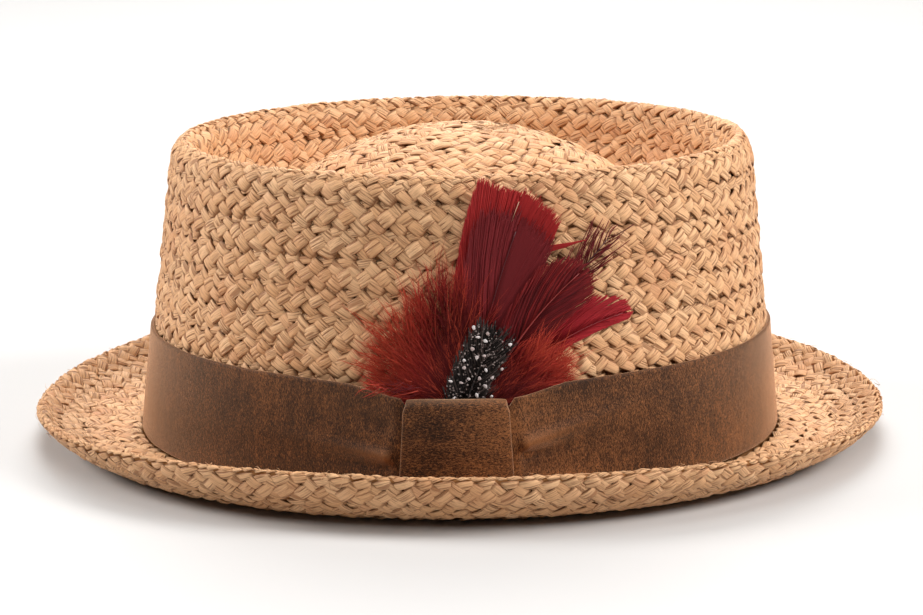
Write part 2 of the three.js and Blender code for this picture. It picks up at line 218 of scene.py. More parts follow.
camera = {
    "place": (26.07, -709.61, 220.93),
    "heading": 0.035,  # radians to the left
    "pitch": 0.25,  # radians down
    "roll": -0.013,
    "lens": 87.38,
    "film": 36,
}
studio = {
    "floorSize": 12000,
    "floorColours": ("c6c4c2", "bfbcb9"),
    "glow": (1300, 2300),  # the floor's far part glows, where the lamps don't reach
    "backdrop": (5900, 4500),  # radius and height
    "backdropGlow": 0.93,
    "sky": 0.05,
    "lamps": {
        "far": {"place": (0, 1500, 1500), "size": 1600, "power": 39, "aim": (0, 700, 0)},
        "over": {"place": (0, 0, 1750), "size": 1000, "power": 10, "aim": (0, 0.1, 60)},
        "left": {"place": (-1500, 150, 900), "size": 700, "power": 26, "aim": (0, 0, 60)},
        "right": {"place": (1400, -250, 1000), "size": 700, "power": 29, "aim": (0, 0, 60)},
        "front": {"place": (200, -1300, 1600), "size": 900, "power": 12, "aim": (0, 0, 60)},
    },
}
white = (1, 1, 1, 1)


def placeCamera():
    data = bpy.data.cameras.new("camera")
    data.sensor_fit = "HORIZONTAL"
    data.sensor_width = camera["film"]
    data.lens = camera["lens"]
    data.clip_start = 0.05
    data.clip_end = 100
    eye = bpy.data.objects.new("camera", data)
    eye.matrix_world = (
        Matrix.Translation([c * mm for c in camera["place"]])
        @ Matrix.Rotation(camera["heading"], 4, "Z")
        @ Matrix.Rotation(math.pi / 2 - camera["pitch"], 4, "X")
        @ Matrix.Rotation(camera["roll"], 4, "Z"))
    bpy.context.scene.collection.objects.link(eye)
    bpy.context.scene.camera = eye


def placeLight(name, lamp):
    data = bpy.data.lights.new(name, "AREA")
    data.shape = "DISK"
    data.size = lamp["size"] * mm
    data.energy = lamp["power"]
    light = linkObject(name, data)
    place = np.array(lamp["place"]) * mm
    aim = np.array(lamp["aim"]) * mm - place
    light.location = place
    light.rotation_euler = (math.atan2(math.hypot(aim[0], aim[1]), -aim[2]), 0,
                            math.atan2(aim[1], aim[0]) - math.pi / 2)


def layFloor():
    finish, nodes = newFinish("paper_floor")
    noise = nodes.add("ShaderNodeTexNoise", {"Scale": 3.0, "Detail": 2.0}).outputs[0]
    away = nodes.add("ShaderNodeVectorMath", {0: nodes.places()}, operation="LENGTH").outputs["Value"]
    plain, stain = studio["floorColours"]
    near, far = (distance * mm for distance in studio["glow"])
    closeFinish(nodes, nodes.layColours(colour(plain), [(noise, 0.3, 0.7, 0.02, stain)]), 0.6, 0.2, others={
        "Emission Color": white,
        "Emission Strength": nodes.between(away, near, far, 0.0, studio["backdropGlow"])})
    half = studio["floorSize"] / 2 * mm
    mesh = bpy.data.meshes.new("floor")
    corners = [(-half, -half, 0), (half, -half, 0), (half, half, 0), (-half, half, 0)]
    mesh.from_pydata(corners, [], [(0, 1, 2, 3)])
    mesh.materials.append(finish)
    linkObject("floor", mesh)


def hangBackdrop():
    # a pale ring at the floor's edge, which gives no light
    finish, nodes = newFinish("paper_backdrop")
    closeFinish(nodes, (0.05, 0.05, 0.05, 1), 1.0, 0.5, others={
        "Emission Color": white, "Emission Strength": studio["backdropGlow"]})
    radius, height = studio["backdrop"]
    angles = np.linspace(0, turn, 96, endpoint=False)
    ring = rows(radius * np.cos(angles), radius * np.sin(angles), 0)
    backdrop = linkObject("backdrop", meshFromRings("backdrop", [ring, ring + (0, 0, height)], finish))
    backdrop.visible_diffuse = False
    backdrop.visible_glossy = False
    backdrop.visible_shadow = False


def lightStudio():
    bpy.context.scene.view_settings.view_transform = "Standard"
    world = bpy.data.worlds.new("studio")
    world.use_nodes = True
    sky = world.node_tree.nodes["Background"].inputs
    sky["Color"].default_value = white
    sky["Strength"].default_value = studio["sky"]
    bpy.context.scene.world = world
    for name, lamp in studio["lamps"].items():
        placeLight(name, lamp)


placeCamera()
layFloor()
hangBackdrop()
lightStudio()
print("camera, floor and light are in place")


# Forms of the hat, as the solids have them

crown = {
    # places on the visible face, from the middle of the top out and down to the foot
    "stations": [
        # half length, half width, height
        (0, 0, 101), (18, 13.5, 98.8), (35, 26, 93.4), (50, 37, 85.6), (63, 47.5, 76.5),
        (71.5, 55.5, 71.5), (79.5, 63.5, 74.5), (83.2, 67.6, 84), (85, 69.8, 93.2),
        (88.8, 73.4, 97.6), (92.2, 76, 93.6), (93.3, 76.9, 88), (99.2, 80.9, 37.5), (103, 84, 3.3),
    ],
    "straightFrom": 10,  # from this station down the wall is straight
    "domeEnd": 100,  # the way along the face that is past the dome; the crest lies beyond
    "steps": 40, "samples": 500,  # of the profile, between two stations and in all
    "ground": (96, 64),  # points round and along
    "wall": 2.5,
    "lean": 1.8 / 97.6,  # how far a point stands back for each millimetre of height
}
brim = {
    "thickness": 3,
    "sides": (6.4, 29.7, 1.446),  # flat, arc, turn
    "tips": (10.9, 26.3, 0.725),
    "waves": [  # azimuth, lift, spread
        (50, -2.4, 30), (345, -0.5, 25), (205, 0.6, 25), (273, -1.2, 20), (306, -0.5, 20)],
    "ground": (128, 18),  # points round and along each face
}


def crownProfile():
    # a centripetal curve through the stations, then straight pieces, as length, sizes and height
    stations = np.array(crown["stations"], dtype=float)
    shares = np.linspace(0, 1, crown["steps"] + 1)[1:, None]
    samples = [stations[0]]
    for i in range(len(stations) - 1):
        p1, p2 = stations[i], stations[i + 1]
        if i >= crown["straightFrom"]:
            samples.extend(p1 + (p2 - p1) * shares)
            continue
        p0 = stations[i - 1] if i else 2 * p1 - p2
        p3 = stations[i + 2]
        d0, d1, d2 = (np.linalg.norm(q - p) ** 0.5 for p, q in ((p0, p1), (p1, p2), (p2, p3)))
        t1 = ((p1 - p0) / d0 - (p2 - p0) / (d0 + d1) + (p2 - p1) / d1) * d1
        t2 = ((p2 - p1) / d1 - (p3 - p1) / (d1 + d2) + (p3 - p2) / d2) * d1
        samples.extend(cubic(p1, p2, t1, t2, shares))
    samples = np.array(samples)
    step = np.diff(samples, axis=0)
    length = np.hypot(np.hypot(step[:, 0], step[:, 1]) / math.sqrt(2), step[:, 2])
    along = np.concatenate([[0], np.cumsum(length)])
    even = np.linspace(0, along[-1], crown["samples"])
    sizes = np.array([np.interp(even, along, column) for column in samples.T])
    return even, sizes, np.gradient(sizes, even, axis=1)


profileAlong, profileSizes, profileSlopes = crownProfile()
crownLength = profileAlong[-1]
crestAlong = profileAlong[np.argmax(profileSizes[2] * (profileAlong > crown["domeEnd"]))]


def crownFace(theta, along, height=0.0):
    # a point of the crown's visible face, moved out by height
    a, b, z = (np.interp(along, profileAlong, size) for size in profileSizes)
    da, db, dz = (np.interp(along, profileAlong, slope) for slope in profileSlopes)
    cos, sin = np.cos(theta), np.sin(theta)
    point = rows(crown["lean"] * z + a * cos, b * sin, z)
    alongWall = rows(crown["lean"] * dz + da * cos, db * sin, dz)
    # at the pole the sizes are 0, so the way round keeps a least size
    flat = np.maximum(a, 0.5) / np.maximum(b, 0.4)
    normal = np.cross(alongWall, rows(-flat * sin, cos, 0.0))
    normal /= np.linalg.norm(normal, axis=-1, keepdims=True)
    return point + normal * np.asarray(height)[..., None]


def brimSizes(theta):
    tip = np.cos(theta) ** 2
    return [side + (end - side) * tip for side, end in zip(brim["sides"], brim["tips"])]


def rimLift(theta):
    azimuths, lifts, spreads = np.array(brim["waves"]).T
    away = (np.degrees(theta) % 360)[..., None] - azimuths
    return (lifts * np.exp(-(away / spreads) ** 2)).sum(axis=-1)


rimRound = math.pi * brim["thickness"] / 2  # length of the way round the rim's edge
brimInner = -crown["wall"]


def brimFace(theta, fromRim, height=0.0):
    # fromRim is below 0 on the upper face and past rimRound on the underside, which turns up
    # into the crown at the head opening
    flat, arc, bend = brimSizes(theta)
    half = brim["thickness"] / 2
    reach = flat + arc - brimInner
    under = fromRim > rimRound
    inward = np.where(under, fromRim - rimRound, np.maximum(-fromRim, 0))
    corner = brimInner + half
    over = np.where(under, np.maximum(corner - (reach - inward + brimInner), 0), 0)
    along = np.maximum(reach - inward + brimInner, np.where(under, corner, -np.inf))
    share = np.maximum(along - flat, 0) / arc
    angle = bend * share
    radius = arc / bend
    out = np.minimum(along, flat) + (radius - half) * np.sin(angle)
    up = radius * (1 - np.cos(angle)) + half * np.cos(angle) + rimLift(theta) * share ** 2
    up = up + np.maximum(over - half * math.pi / 2, 0)
    footLength, footWidth = crown["stations"][-1][:2]
    cos, sin = np.cos(theta), np.sin(theta)
    middle = rows((footLength + out) * cos, (footWidth + out) * sin, up)
    upwards = rows(-np.sin(angle) * cos, -np.sin(angle) * sin, np.cos(angle))
    outwards = rows(np.cos(angle) * cos, np.cos(angle) * sin, np.sin(angle))
    past = np.clip(fromRim, 0, rimRound) / rimRound * math.pi + np.minimum(over / half, math.pi / 2)
    away = upwards * np.cos(past)[..., None] + outwards * np.sin(past)[..., None]
    return middle + away * (half + np.asarray(height))[..., None]


# Laying: one tree lays small shapes on points, and each point carries its turn and size

def layingTree():
    tree = bpy.data.node_groups.new("lay_pieces", "GeometryNodeTree")
    for label, kind in (("Geometry", "Geometry"), ("Shapes", "Collection"), ("Finish", "Material"),
                        ("Turn spread", "Float"), ("Size spread", "Float"), ("Seed", "Int")):
        tree.interface.new_socket(label, in_out="INPUT", socket_type="NodeSocket" + kind)
    tree.interface.new_socket("Geometry", in_out="OUTPUT", socket_type="NodeSocketGeometry")
    nodes = Nodes(tree)
    given = nodes.add("NodeGroupInput").outputs

    def carried(name, kind="FLOAT"):
        return nodes.add("GeometryNodeInputNamedAttribute", {"Name": name}, data_type=kind).outputs[0]

    def chance(low, high, step):
        seed = nodes.math("ADD", given["Seed"], float(step))
        return nodes.add("FunctionNodeRandomValue", {2: low, 3: high, 8: seed}, data_type="FLOAT").outputs[1]

    shaded = nodes.add("GeometryNodeStoreNamedAttribute", {
        "Geometry": given["Geometry"], "Name": "shade", "Value": chance(0.0, 1.0, 1)},
        data_type="FLOAT", domain="POINT")
    less = nodes.math("MULTIPLY", given["Turn spread"], -1.0)
    turned = nodes.math("ADD", carried("turn"), chance(less, given["Turn spread"], 2))
    tipped = nodes.math("ADD", carried("tip"), chance(less, given["Turn spread"], 3))
    rotation = nodes.add("FunctionNodeEulerToRotation", {0: nodes.vector(carried("roll"), tipped, turned)})
    smaller = nodes.math("SUBTRACT", 1.0, given["Size spread"])
    larger = nodes.math("ADD", 1.0, given["Size spread"])
    spread = nodes.vector(*[chance(smaller, larger, step) for step in (4, 5, 6)])
    size = nodes.add("ShaderNodeVectorMath", {0: carried("size", "FLOAT_VECTOR"), 1: spread},
                     operation="MULTIPLY")
    shapes = nodes.add("GeometryNodeCollectionInfo", {
        "Collection": given["Shapes"], "Separate Children": True, "Reset Children": True})
    laid = nodes.add("GeometryNodeInstanceOnPoints", {
        "Points": shaded.outputs[0], "Instance": shapes.outputs[0], "Pick Instance": True,
        "Instance Index": nodes.math("FLOOR", chance(0.0, 99.0, 7)),
        "Rotation": rotation.outputs[0], "Scale": size.outputs[0]})
    real = nodes.add("GeometryNodeRealizeInstances", {0: laid.outputs[0]})
    finished = nodes.add("GeometryNodeSetMaterial", {
        "Geometry": real.outputs[0], "Material": given["Finish"]})
    nodes.add("NodeGroupOutput", {0: finished.outputs[0]})
    return tree


layPieces = layingTree()


def layShapes(name, points, shapes, finish, turnSpread, sizeSpread, seed):
    # points: a dictionary of place, turn, tip, roll, tone and size; the result is a plain flat mesh
    count = len(points["place"])
    mesh = bpy.data.meshes.new(name)
    mesh.vertices.add(count)
    mesh.vertices.foreach_set("co", np.asarray(points["place"], dtype=np.float32).ravel())
    for key in ("turn", "tip", "roll", "tone", "size"):
        kind, slot = ("FLOAT_VECTOR", "vector") if key == "size" else ("FLOAT", "value")
        values = np.asarray(points.get(key, np.zeros(count)), dtype=np.float32)
        mesh.attributes.new(key, kind, "POINT").data.foreach_set(slot, values.ravel())
    piece = linkObject(name, mesh)
    modifier = piece.modifiers.new("laying", "NODES")
    modifier.node_group = layPieces
    values = {"Shapes": shapes, "Finish": finish, "Turn spread": turnSpread,
              "Size spread": sizeSpread, "Seed": seed}
    for item in layPieces.interface.items_tree:
        if item.in_out == "INPUT" and item.name in values:
            modifier[item.identifier] = values[item.name]
    graph = bpy.context.evaluated_depsgraph_get()
    flat = bpy.data.meshes.new_from_object(piece.evaluated_get(graph), depsgraph=graph)
    piece.modifiers.clear()
    piece.data = flat
    bpy.data.meshes.remove(mesh)
    flat.name = name
    for key in ("turn", "tip", "roll", "size"):
        if key in flat.attributes:
            flat.attributes.remove(flat.attributes[key])
    return piece


def writePoints(mesh, points):
    mesh.vertices.foreach_set("co", (points * mm).astype(np.float32).ravel())
    turnOutwards(mesh)
    shadeSmooth(mesh)


def shapeCollection(name, meshes):
    shapes = bpy.data.collections.new(name)
    for mesh in meshes:
        shapes.objects.link(bpy.data.objects.new(mesh.name, mesh))
    return shapes


# Raffia finishes

raffia = {
    "pale": "e9ba8c",
    "plain": "d6a273",
    "deep": "8a5936",
    "red": "b87346",
    # gap and brimGap: the straw under the floats, painted darker as the shade it lies in
    "gap": "74502f",
    "brimGap": "99693f",
}


def strawFinish():
    finish, nodes = newFinish("raffia_straw")
    shade = nodes.attribute("shade")
    along, across = nodes.fibre()
    toEnd, toSide = (nodes.math("ABSOLUTE", nodes.math("SUBTRACT", part, 0.5)) for part in (along, across))

    def lengthwise(long, wide, step, detail):
        # noise drawn out along the float
        stretch = ((along, long), (across, wide), (shade, step))
        where = nodes.vector(*[nodes.math("MULTIPLY", part, size) for part, size in stretch])
        return nodes.noise(where, 1.0, detail, 0.6)
    fibres = lengthwise(1.3, 15.0, 90.0, 2.0)
    folds = lengthwise(0.9, 7.0, 57.0, 0.0)
    tone = nodes.layColours(colour(raffia["plain"]), [
        (shade, 0, 1, 1, raffia["pale"]), (shade, 0.93, 0.98, 0.45, raffia["red"]),
        (fibres, 0.54, 0.3, 0.6, raffia["deep"]), (folds, 0.4, 0.3, 0.7, raffia["deep"]),
        (nodes.noise(nodes.places(), 60.0, 2.0), 0.5, 0.75, 0.3, raffia["red"])])
    # painted shade: each float darkens towards its sides and ends, where it meets and passes under its
    # neighbours; the piece's tone takes a share of it away
    edgeShadeShare = nodes.math("SUBTRACT", 1.0, nodes.attribute("tone"))
    rim = nodes.math("MAXIMUM", nodes.between(toSide, 0.33, 0.5, 0, 0.9),
                     nodes.between(toEnd, 0.33, 0.46, 0, 0.85))
    tone = nodes.blendColours(nodes.math("MULTIPLY", rim, edgeShadeShare), tone, colour(raffia["deep"]))
    relief = nodes.math("ADD", nodes.math("MULTIPLY", fibres, 0.35),
                        nodes.between(folds, 0.28, 0.45, 0, 0.7))
    closeFinish(nodes, tone, 0.6, 0.3, (relief, 0.0004, 0.8))
    return finish


def gapFinish(name, gap):
    # the straw under the floats, painted darker as the shade it lies in
    finish, nodes = newFinish(name)
    grain = nodes.noise(nodes.places(), 900.0, 3.0)
    tone = nodes.blendColours(grain, colour(gap), colour(raffia["deep"]))
    closeFinish(nodes, tone, 0.9, 0.1, (grain, 0.0004, 0.8))
    return finish


# Raffia braid: a flat plait of three lines of floats, sewn row against row

braid = {
    "pitch": 8.8,  # from one row to the next
    "spacing": 5.95,  # from one float to the next along a line
    "lines": [
        # across the row, turn in degrees, half length, half width, thickness, height
        (-3.3, -17, 3.4, 1.5, 0.8, 0.0),
        (-1.2, 36, 3.5, 1.9, 0.9, 0.0),
        (1.0, -35, 3.5, 2.05, 1.05, 0.12),
        (3.1, 34, 3.5, 1.9, 0.9, 0.0),
    ],
    "seamLines": [(-4.5, 25, 3.2, 1.6, 0.75, -0.05), (-2.3, -38, 2.8, 1.4, 0.6, -0.15)],
    "arch": 1.0,  # how high a float's middle stands, in thicknesses
    "creaseDepth": 0.15, "creaseWidth": 0.25,
    "narrowing": 0.14, "thinning": 0.3,  # of a float, towards its ends
    "sink": 0.55,  # from the face down to a float's mean height
    "shingle": 0.05,  # each row's outer edge lies over the next row
    "turnSpread": 0.13,
    "sizeSpread": 0.17,
    "wander": 0.4,  # how far a row strays from its line
    "waves": 6, "waveLengths": (40, 170), "waveSum": 2.4,
    "scatter": 0.27,  # how far a float strays from its place
    "unevenness": 0.09,  # and up or down
    "pathSteps": 200, "rowSteps": 240,  # for each turn
    "slant": 0.25, "edgeSlant": 0.06,  # radians round the hat, in which a row steps to the next
    "frayHeight": (0.2, 0.8), "frayLength": (1.5, 5), "fraySize": (0.16, 0.12),
    "groundDepth": 0.85,
}


def smallShape(name, loops, fibre):
    # a shape in its own measure, with each point's place along and across the fibre
    mesh = meshFromRings(name, [loop / mm for loop in loops], None, closeEnds=True)
    layer = mesh.uv_layers.new(name="fibre")
    for loop in mesh.loops:
        layer.data[loop.index].uv = fibre[loop.vertex_index]
    return mesh


def strawShape(name, section, stations, crease, twist):
    # one float: a puffed strip with a crease, its ends turned down to pass under its neighbours
    y, z = np.array(section, dtype=float).T
    z = z - np.where(z > 0, braid["creaseDepth"], 0) * np.exp(-((y - crease) / braid["creaseWidth"]) ** 2)
    loops = []
    for x in np.linspace(-1, 1, stations):
        arch = braid["arch"] * (0.5 - 0.95 * abs(x) ** 2.2)
        up = z * (1 - braid["thinning"] * x * x) + arch + twist * x * y
        loops.append(rows(x, y * (1 - braid["narrowing"] * abs(x) ** 4), up))
    fibre = rows(np.repeat(np.linspace(0, 1, stations), len(y)), np.tile((y + 1) / 2, stations))
    return smallShape(name, loops, fibre)


def strawShapes(name, letters, section, stations, folds):
    # one shape for each letter, with its own crease and twist
    return shapeCollection(name, [
        strawShape("straw_" + letter, section, stations, *fold) for letter, fold in zip(letters, folds)])


def hairShape(name, stations, bow, curl, taper):
    # one hair from 0 to 1: bowed between its ends and curled towards its tip, both in widths
    loops = []
    for x in stations:
        width = 1 - taper * x ** 2
        side = 4 * bow * x * (1 - x) + curl * x * x
        loops.append(rows(x, side + np.array([0.5, 0, -0.5]) * width, np.array([-0.4, 0.5, -0.4]) * width))
    loops.append(np.array([(1, curl, 0)]))
    along = np.append(np.repeat(stations, 3), 1)
    return smallShape(name, loops, rows(along, np.arange(len(along)) % 3 / 2))


def hairShapes(name, kind, stations, bends):
    # one shape for each bend: its bow, curl and taper
    return shapeCollection(name, [
        hairShape(kind + "_" + letter, stations, *bend) for letter, bend in zip("abcde", bends)])


def braidPath(face, theta, across):
    steps = np.linalg.norm(np.diff(face(theta, across), axis=0), axis=1)
    length = np.concatenate([[0], np.cumsum(steps)])
    return {"face": face, "theta": theta, "across": across, "length": length}


def spiralPath(face, start, end, first=0.0):
    turns = (end - start) / braid["pitch"]
    theta = np.linspace(0, turns * turn, int(turns * braid["pathSteps"]))
    return braidPath(face, theta + first, start + braid["pitch"] * theta / turn)


def rowPath(face, places, seam, slant=braid["slant"]):
    # closed rows; at the seam the braid steps across to the next one, over its own start
    count = len(places)
    theta = np.linspace(-slant, count * turn, count * braid["rowSteps"])
    row = np.minimum((theta / turn).astype(int), count - 1)
    past = smooth((theta - row * turn - turn + slant) / slant)
    past[row == count - 1] = 0
    step = np.append(np.diff(places), 0)
    return braidPath(face, theta + seam, np.array(places)[row] + step[row] * past)


def bendOnto(piece, path, rng, shingle):
    # from the straightened row (along, across, off) to its path on a face
    along, side, off = readPoints(piece.data).T
    count = braid["waves"]
    lengths, starts = rng.uniform(*braid["waveLengths"], count), rng.uniform(0, turn, count)
    waves = np.sin(along[:, None] * turn / lengths + starts).sum(axis=1)
    wander = waves * braid["wander"] / braid["waveSum"]
    theta, across = (np.interp(along, path["length"], path[key]) for key in ("theta", "across"))
    across = across + side + wander
    writePoints(piece.data, path["face"](theta, across, off - braid["sink"] + shingle * side))


def layBraid(name, path, lines, shapes, seed, shingle=braid["shingle"], spacing=braid["spacing"], lessEdgeShade=0.0):
    # how far the floats go without their dark rims, which are painted shade at their sides and ends
    rng = np.random.default_rng(seed)
    total = path["length"][-1]
    count = int(total / spacing)
    spacing = total / count
    batches = []
    for number, (across, angle, length, width, thick, height) in enumerate(lines):
        x = (np.arange(count) + 0.5 * (number % 2) + 0.25) * spacing
        x = x + rng.normal(0, braid["scatter"], count)
        y = across + rng.normal(0, braid["scatter"] * 0.7, count)
        z = height + rng.normal(0, braid["unevenness"], count)
        batches.append({
            "place": rows(x, y, z), "turn": np.full(count, math.radians(angle)),
            "size": np.tile([length, width, thick], (count, 1)), "tone": np.full(count, lessEdgeShade)})
    piece = layShapes(name, joined(batches), shapes, straw, braid["turnSpread"], braid["sizeSpread"], seed)
    bendOnto(piece, path, rng, shingle)
    return piece


def layFrays(name, path, count, width, seed):
    # loose fibres that stand off a row
    rng = np.random.default_rng(seed)
    points = {
        "place": rows(rng.uniform(0, path["length"][-1], count), rng.uniform(-width, width, count),
                      rng.uniform(*braid["frayHeight"], count)),
        "turn": rng.uniform(0, turn, count), "tip": -rng.uniform(0, 0.5, count),
        "size": rows(rng.uniform(*braid["frayLength"], count), *braid["fraySize"]), "tone": np.ones(count)}
    piece = layShapes(name, points, frayShapes, straw, 0.0, 0.3, seed)
    bendOnto(piece, path, rng, 0.0)
    return piece


def crownOutside(theta, along, height=0.0):
    return crownFace(theta, np.maximum(along, 0.4), height)


def crownInside(theta, along, height=0.0):
    return crownFace(theta, np.maximum(along, 0.4), -crown["wall"] - np.asarray(height))


def brimOutside(theta, fromRim, height=0.0):
    # where it rests, the underside is pressed flat
    point = brimFace(theta, fromRim, height)
    point[..., 2] = np.maximum(point[..., 2], 0.0)
    return point


def alongAtHeight(height):
    past = profileAlong > crestAlong
    return np.interp(-height, -profileSizes[2][past], profileAlong[past])


straw = strawFinish()
crownGround = gapFinish("crown_ground", raffia["gap"])
brimGround = gapFinish("brim_ground", raffia["brimGap"])
fineSection = [(1, 0), (0.8, 0.4), (0.2, 0.5), (-0.4, 0.5), (-0.8, 0.38), (-1, 0)]
plainSection = [(1, 0), (0.7, 0.4), (0, 0.5), (-0.7, 0.4), (-1, 0), (0, -0.3)]
hiddenSection = [(1, 0), (0.1, 0.45), (-1, 0), (0, -0.3)]
fineStraws = strawShapes(
    "fine_straws", "abcd", fineSection, 5, [(0.3, 0.08), (-0.25, -0.14), (0.75, 0.16), (-0.7, 0)])
plainStraws = strawShapes("plain_straws", "ef", plainSection, 5, [(0, 0.08), (-0.6, -0.08)])
hiddenStraws = strawShapes("hidden_straws", "g", hiddenSection, 3, [(0.2, 0.05)])
slender = (0, 0.25, 0.5, 0.75)
blunt = (0, 0.33, 0.66, 0.97)
frayShapes = hairShapes("frays", "fray", slender, [(3.0, 5.0, 0.5), (-4.0, -3.0, 0.5)])


def groundOfCrown():
    depth = braid["groundDepth"]
    around, steps = crown["ground"]
    thetas = np.linspace(0, turn, around, endpoint=False)
    pole = np.zeros(1)
    alongs = [0.01, *np.linspace(1.5, crownLength, steps)]
    outer = [crownFace(thetas if k else pole, along, -depth) for k, along in enumerate(alongs)]
    inner = [crownFace(thetas if k else pole, along, depth - crown["wall"]) for k, along in enumerate(alongs)]
    return pieceFromRings("crown_ground", outer + inner[::-1], crownGround)


def groundOfBrim():
    around, steps = brim["ground"]
    thetas = np.linspace(0, turn, around, endpoint=False)
    reach = sum(brimSizes(thetas)[:2]) - brimInner
    shares = np.linspace(0, 1, steps)
    upper = [-reach * (1 - share) for share in shares]
    rim = [rimRound * share for share in (0.25, 0.5, 0.75)]
    under = [rimRound + reach * share for share in shares]
    rings = [brimFace(thetas, place, -braid["groundDepth"]) for place in upper + rim + under]
    return pieceFromRings("brim_ground", rings, brimGround, wrap=True)


crownCover = {
    "start": -1.8, "visibleTo": 29.0,
    "crestAt": 1.4,  # past the highest line, towards the wall
    "crestSpacing": 3.9,
    "crestLines": [(-1.0, 25, 2.4, 1.0, 0.75, 0.35), (0.8, -24, 2.4, 1.05, 0.8, 0.3)],
    "knot": [(-1.1, 10), (-0.6, 11), (0.0, 13), (0.3, 14)],  # azimuth and distance from the middle
    "knotFrays": (60, 1.6),  # how many, and how far they stray across
}
brimCover = {
    "seam": math.radians(304), "upperRows": 4, "underRows": 5,
    "edgeSpacing": 3.7,
    "edgeLines": [(-1.1, 24, 2.2, 1.0, 0.7, -0.5), (0.7, -27, 2.3, 1.1, 0.8, -0.4)],
    "frays": (150, 4),
}


def makeRaffia():
    pitch, lines, seam = braid["pitch"], braid["lines"], brimCover["seam"]
    # a brim and a top are pressed: wider, flatter floats
    pressed = [(*line[:3], 1.1 * line[3], 0.85 * line[4], line[5]) for line in lines]
    wallStart = crestAlong - pitch / 2
    topPath = spiralPath(crownOutside, crownCover["start"], wallStart)
    wallPath = spiralPath(
        crownOutside, wallStart, alongAtHeight(crownCover["visibleTo"]), topPath["theta"][-1] % turn)
    crestPath = rowPath(crownOutside, [crestAlong + crownCover["crestAt"]], seam, braid["edgeSlant"])
    insidePath = spiralPath(crownInside, crownCover["start"], crownLength - pitch / 2)
    crownPieces = [
        layBraid("crown_top_braid", topPath, pressed, plainStraws, 11, shingle=-0.02, lessEdgeShade=0.15),
        layBraid("crown_wall_braid", wallPath, lines, fineStraws, 12),
        layBraid("crown_seam_braid", wallPath, braid["seamLines"], hiddenStraws, 18),
        layBraid("crown_crest_braid", crestPath, crownCover["crestLines"], plainStraws, 19,
                 shingle=0.0, spacing=crownCover["crestSpacing"]),
        layBraid("crown_inside_braid", insidePath, lines[1:], hiddenStraws, 13)]
    upperRows = [-pitch * (k + 0.5) for k in reversed(range(brimCover["upperRows"]))]
    underRows = [rimRound + pitch * (k + 0.5) for k in reversed(range(brimCover["underRows"]))]
    upperPath, underPath, curlPath = (
        rowPath(brimOutside, places, seam) for places in (upperRows, underRows[:-2], underRows[-2:]))
    edgePath = rowPath(brimOutside, [rimRound / 2], seam, braid["edgeSlant"])
    brimPieces = [
        layBraid("brim_upper_braid", upperPath, pressed, plainStraws, 14, shingle=0.0, lessEdgeShade=0.65),
        layBraid("brim_under_braid", underPath, pressed, hiddenStraws, 15, lessEdgeShade=0.25),
        layBraid("brim_curl_braid", curlPath, pressed, plainStraws, 20, lessEdgeShade=0.15),
        layBraid("brim_edge_braid", edgePath, brimCover["edgeLines"], fineStraws, 16,
                 shingle=0.0, spacing=brimCover["edgeSpacing"], lessEdgeShade=0.5),
        layFrays("brim_frays", edgePath, *brimCover["frays"], 17)]
    knotPath = braidPath(crownOutside, *np.array(crownCover["knot"]).T)
    knot = layFrays("crown_top_frays", knotPath, *crownCover["knotFrays"], 18)
    dress([groundOfCrown(), *crownPieces, knot], "crown")
    dress([groundOfBrim(), *brimPieces], "brim")


makeRaffia()
print("raffia is braided")


# Leather band and keeper

leather = {
    "dark": "180e0a",
    "plain": "4a2b17",
    "wornAndHighlight": "965f37",
    "streak": 0.3,  # how much the grain is drawn out
}
band = {
    "thickness": 1.3, "bottom": 3.6, "top": 37.5,
    "reach": 57.4, "hold": 17.4,
    "pinchTop": 4.9, "pinchBottom": 2.4, "pinchNear": 1.0, "pinchFar": 18,
    "gathers": [
        # side, height, rise, depth, spread, fade
        (1, 21, 0.2, 2.0, 2.3, 20), (1, 14.5, -0.05, -0.9, 3.6, 16), (1, 30, 0.15, -0.5, 2.6, 12),
        (-1, 17.5, 0.06, 1.9, 2.2, 17), (-1, 26, 0.15, -0.7, 3.4, 15), (-1, 9.5, -0.1, -0.6, 2.6, 14),
    ],
    "creases": [
        # finer ones, of the same columns
        (1, 27, 0.2, 0.3, 1.2, 14), (1, 17.6, 0.06, -1.2, 1.7, 14), (1, 9, -0.15, 0.3, 1.5, 15),
        (-1, 22, 0.2, 0.3, 1.2, 12), (-1, 14.2, 0.02, -0.9, 1.6, 12), (-1, 30, 0.2, 0.25, 1.4, 10),
    ],
    "gatherStart": 1.4,
    "columns": 460, "rows": 40, "edge": 0.45, "bevel": 0.12,
}
keeper = {
    "middle": 2.4, "frontWall": 1.3, "backWall": 1.0, "top": 35, "bottom": 4.2,
    "halfTop": 15.5, "halfBottom": 16.9, "bulge": 1.1,
    "cornerDrop": 0.5, "cornerRound": 1, "cornerLength": 4, "edge": 0.5,
    "section": [
        # depth from back to front, up, inset
        (0, 0, 0.6), (0.5, 0, 0), (0.9, 0, 0.4), (1, 0, 2), (1, 0.35, 0), (1, 0.65, 0),
        (1, 1, -2), (0.85, 1, -0.6), (0.5, 1, 0), (0.1, 1, -0.5), (0, 1, -1.6), (0, 0.5, 0),
    ],
}
gap = 0.3
wallStations = np.array(crown["stations"][-3:], dtype=float)


def wallSizes(height):
    # half length and half width of the crown's wall, carried on straight past its ends
    heights = wallStations[:, 2]
    past = np.maximum(height - heights[0], 0)
    sizes = []
    for column in wallStations.T[:2]:
        rise = (column[0] - column[1]) / (heights[0] - heights[1])
        sizes.append(np.interp(-np.asarray(height), -heights, column) + rise * past)
    return sizes


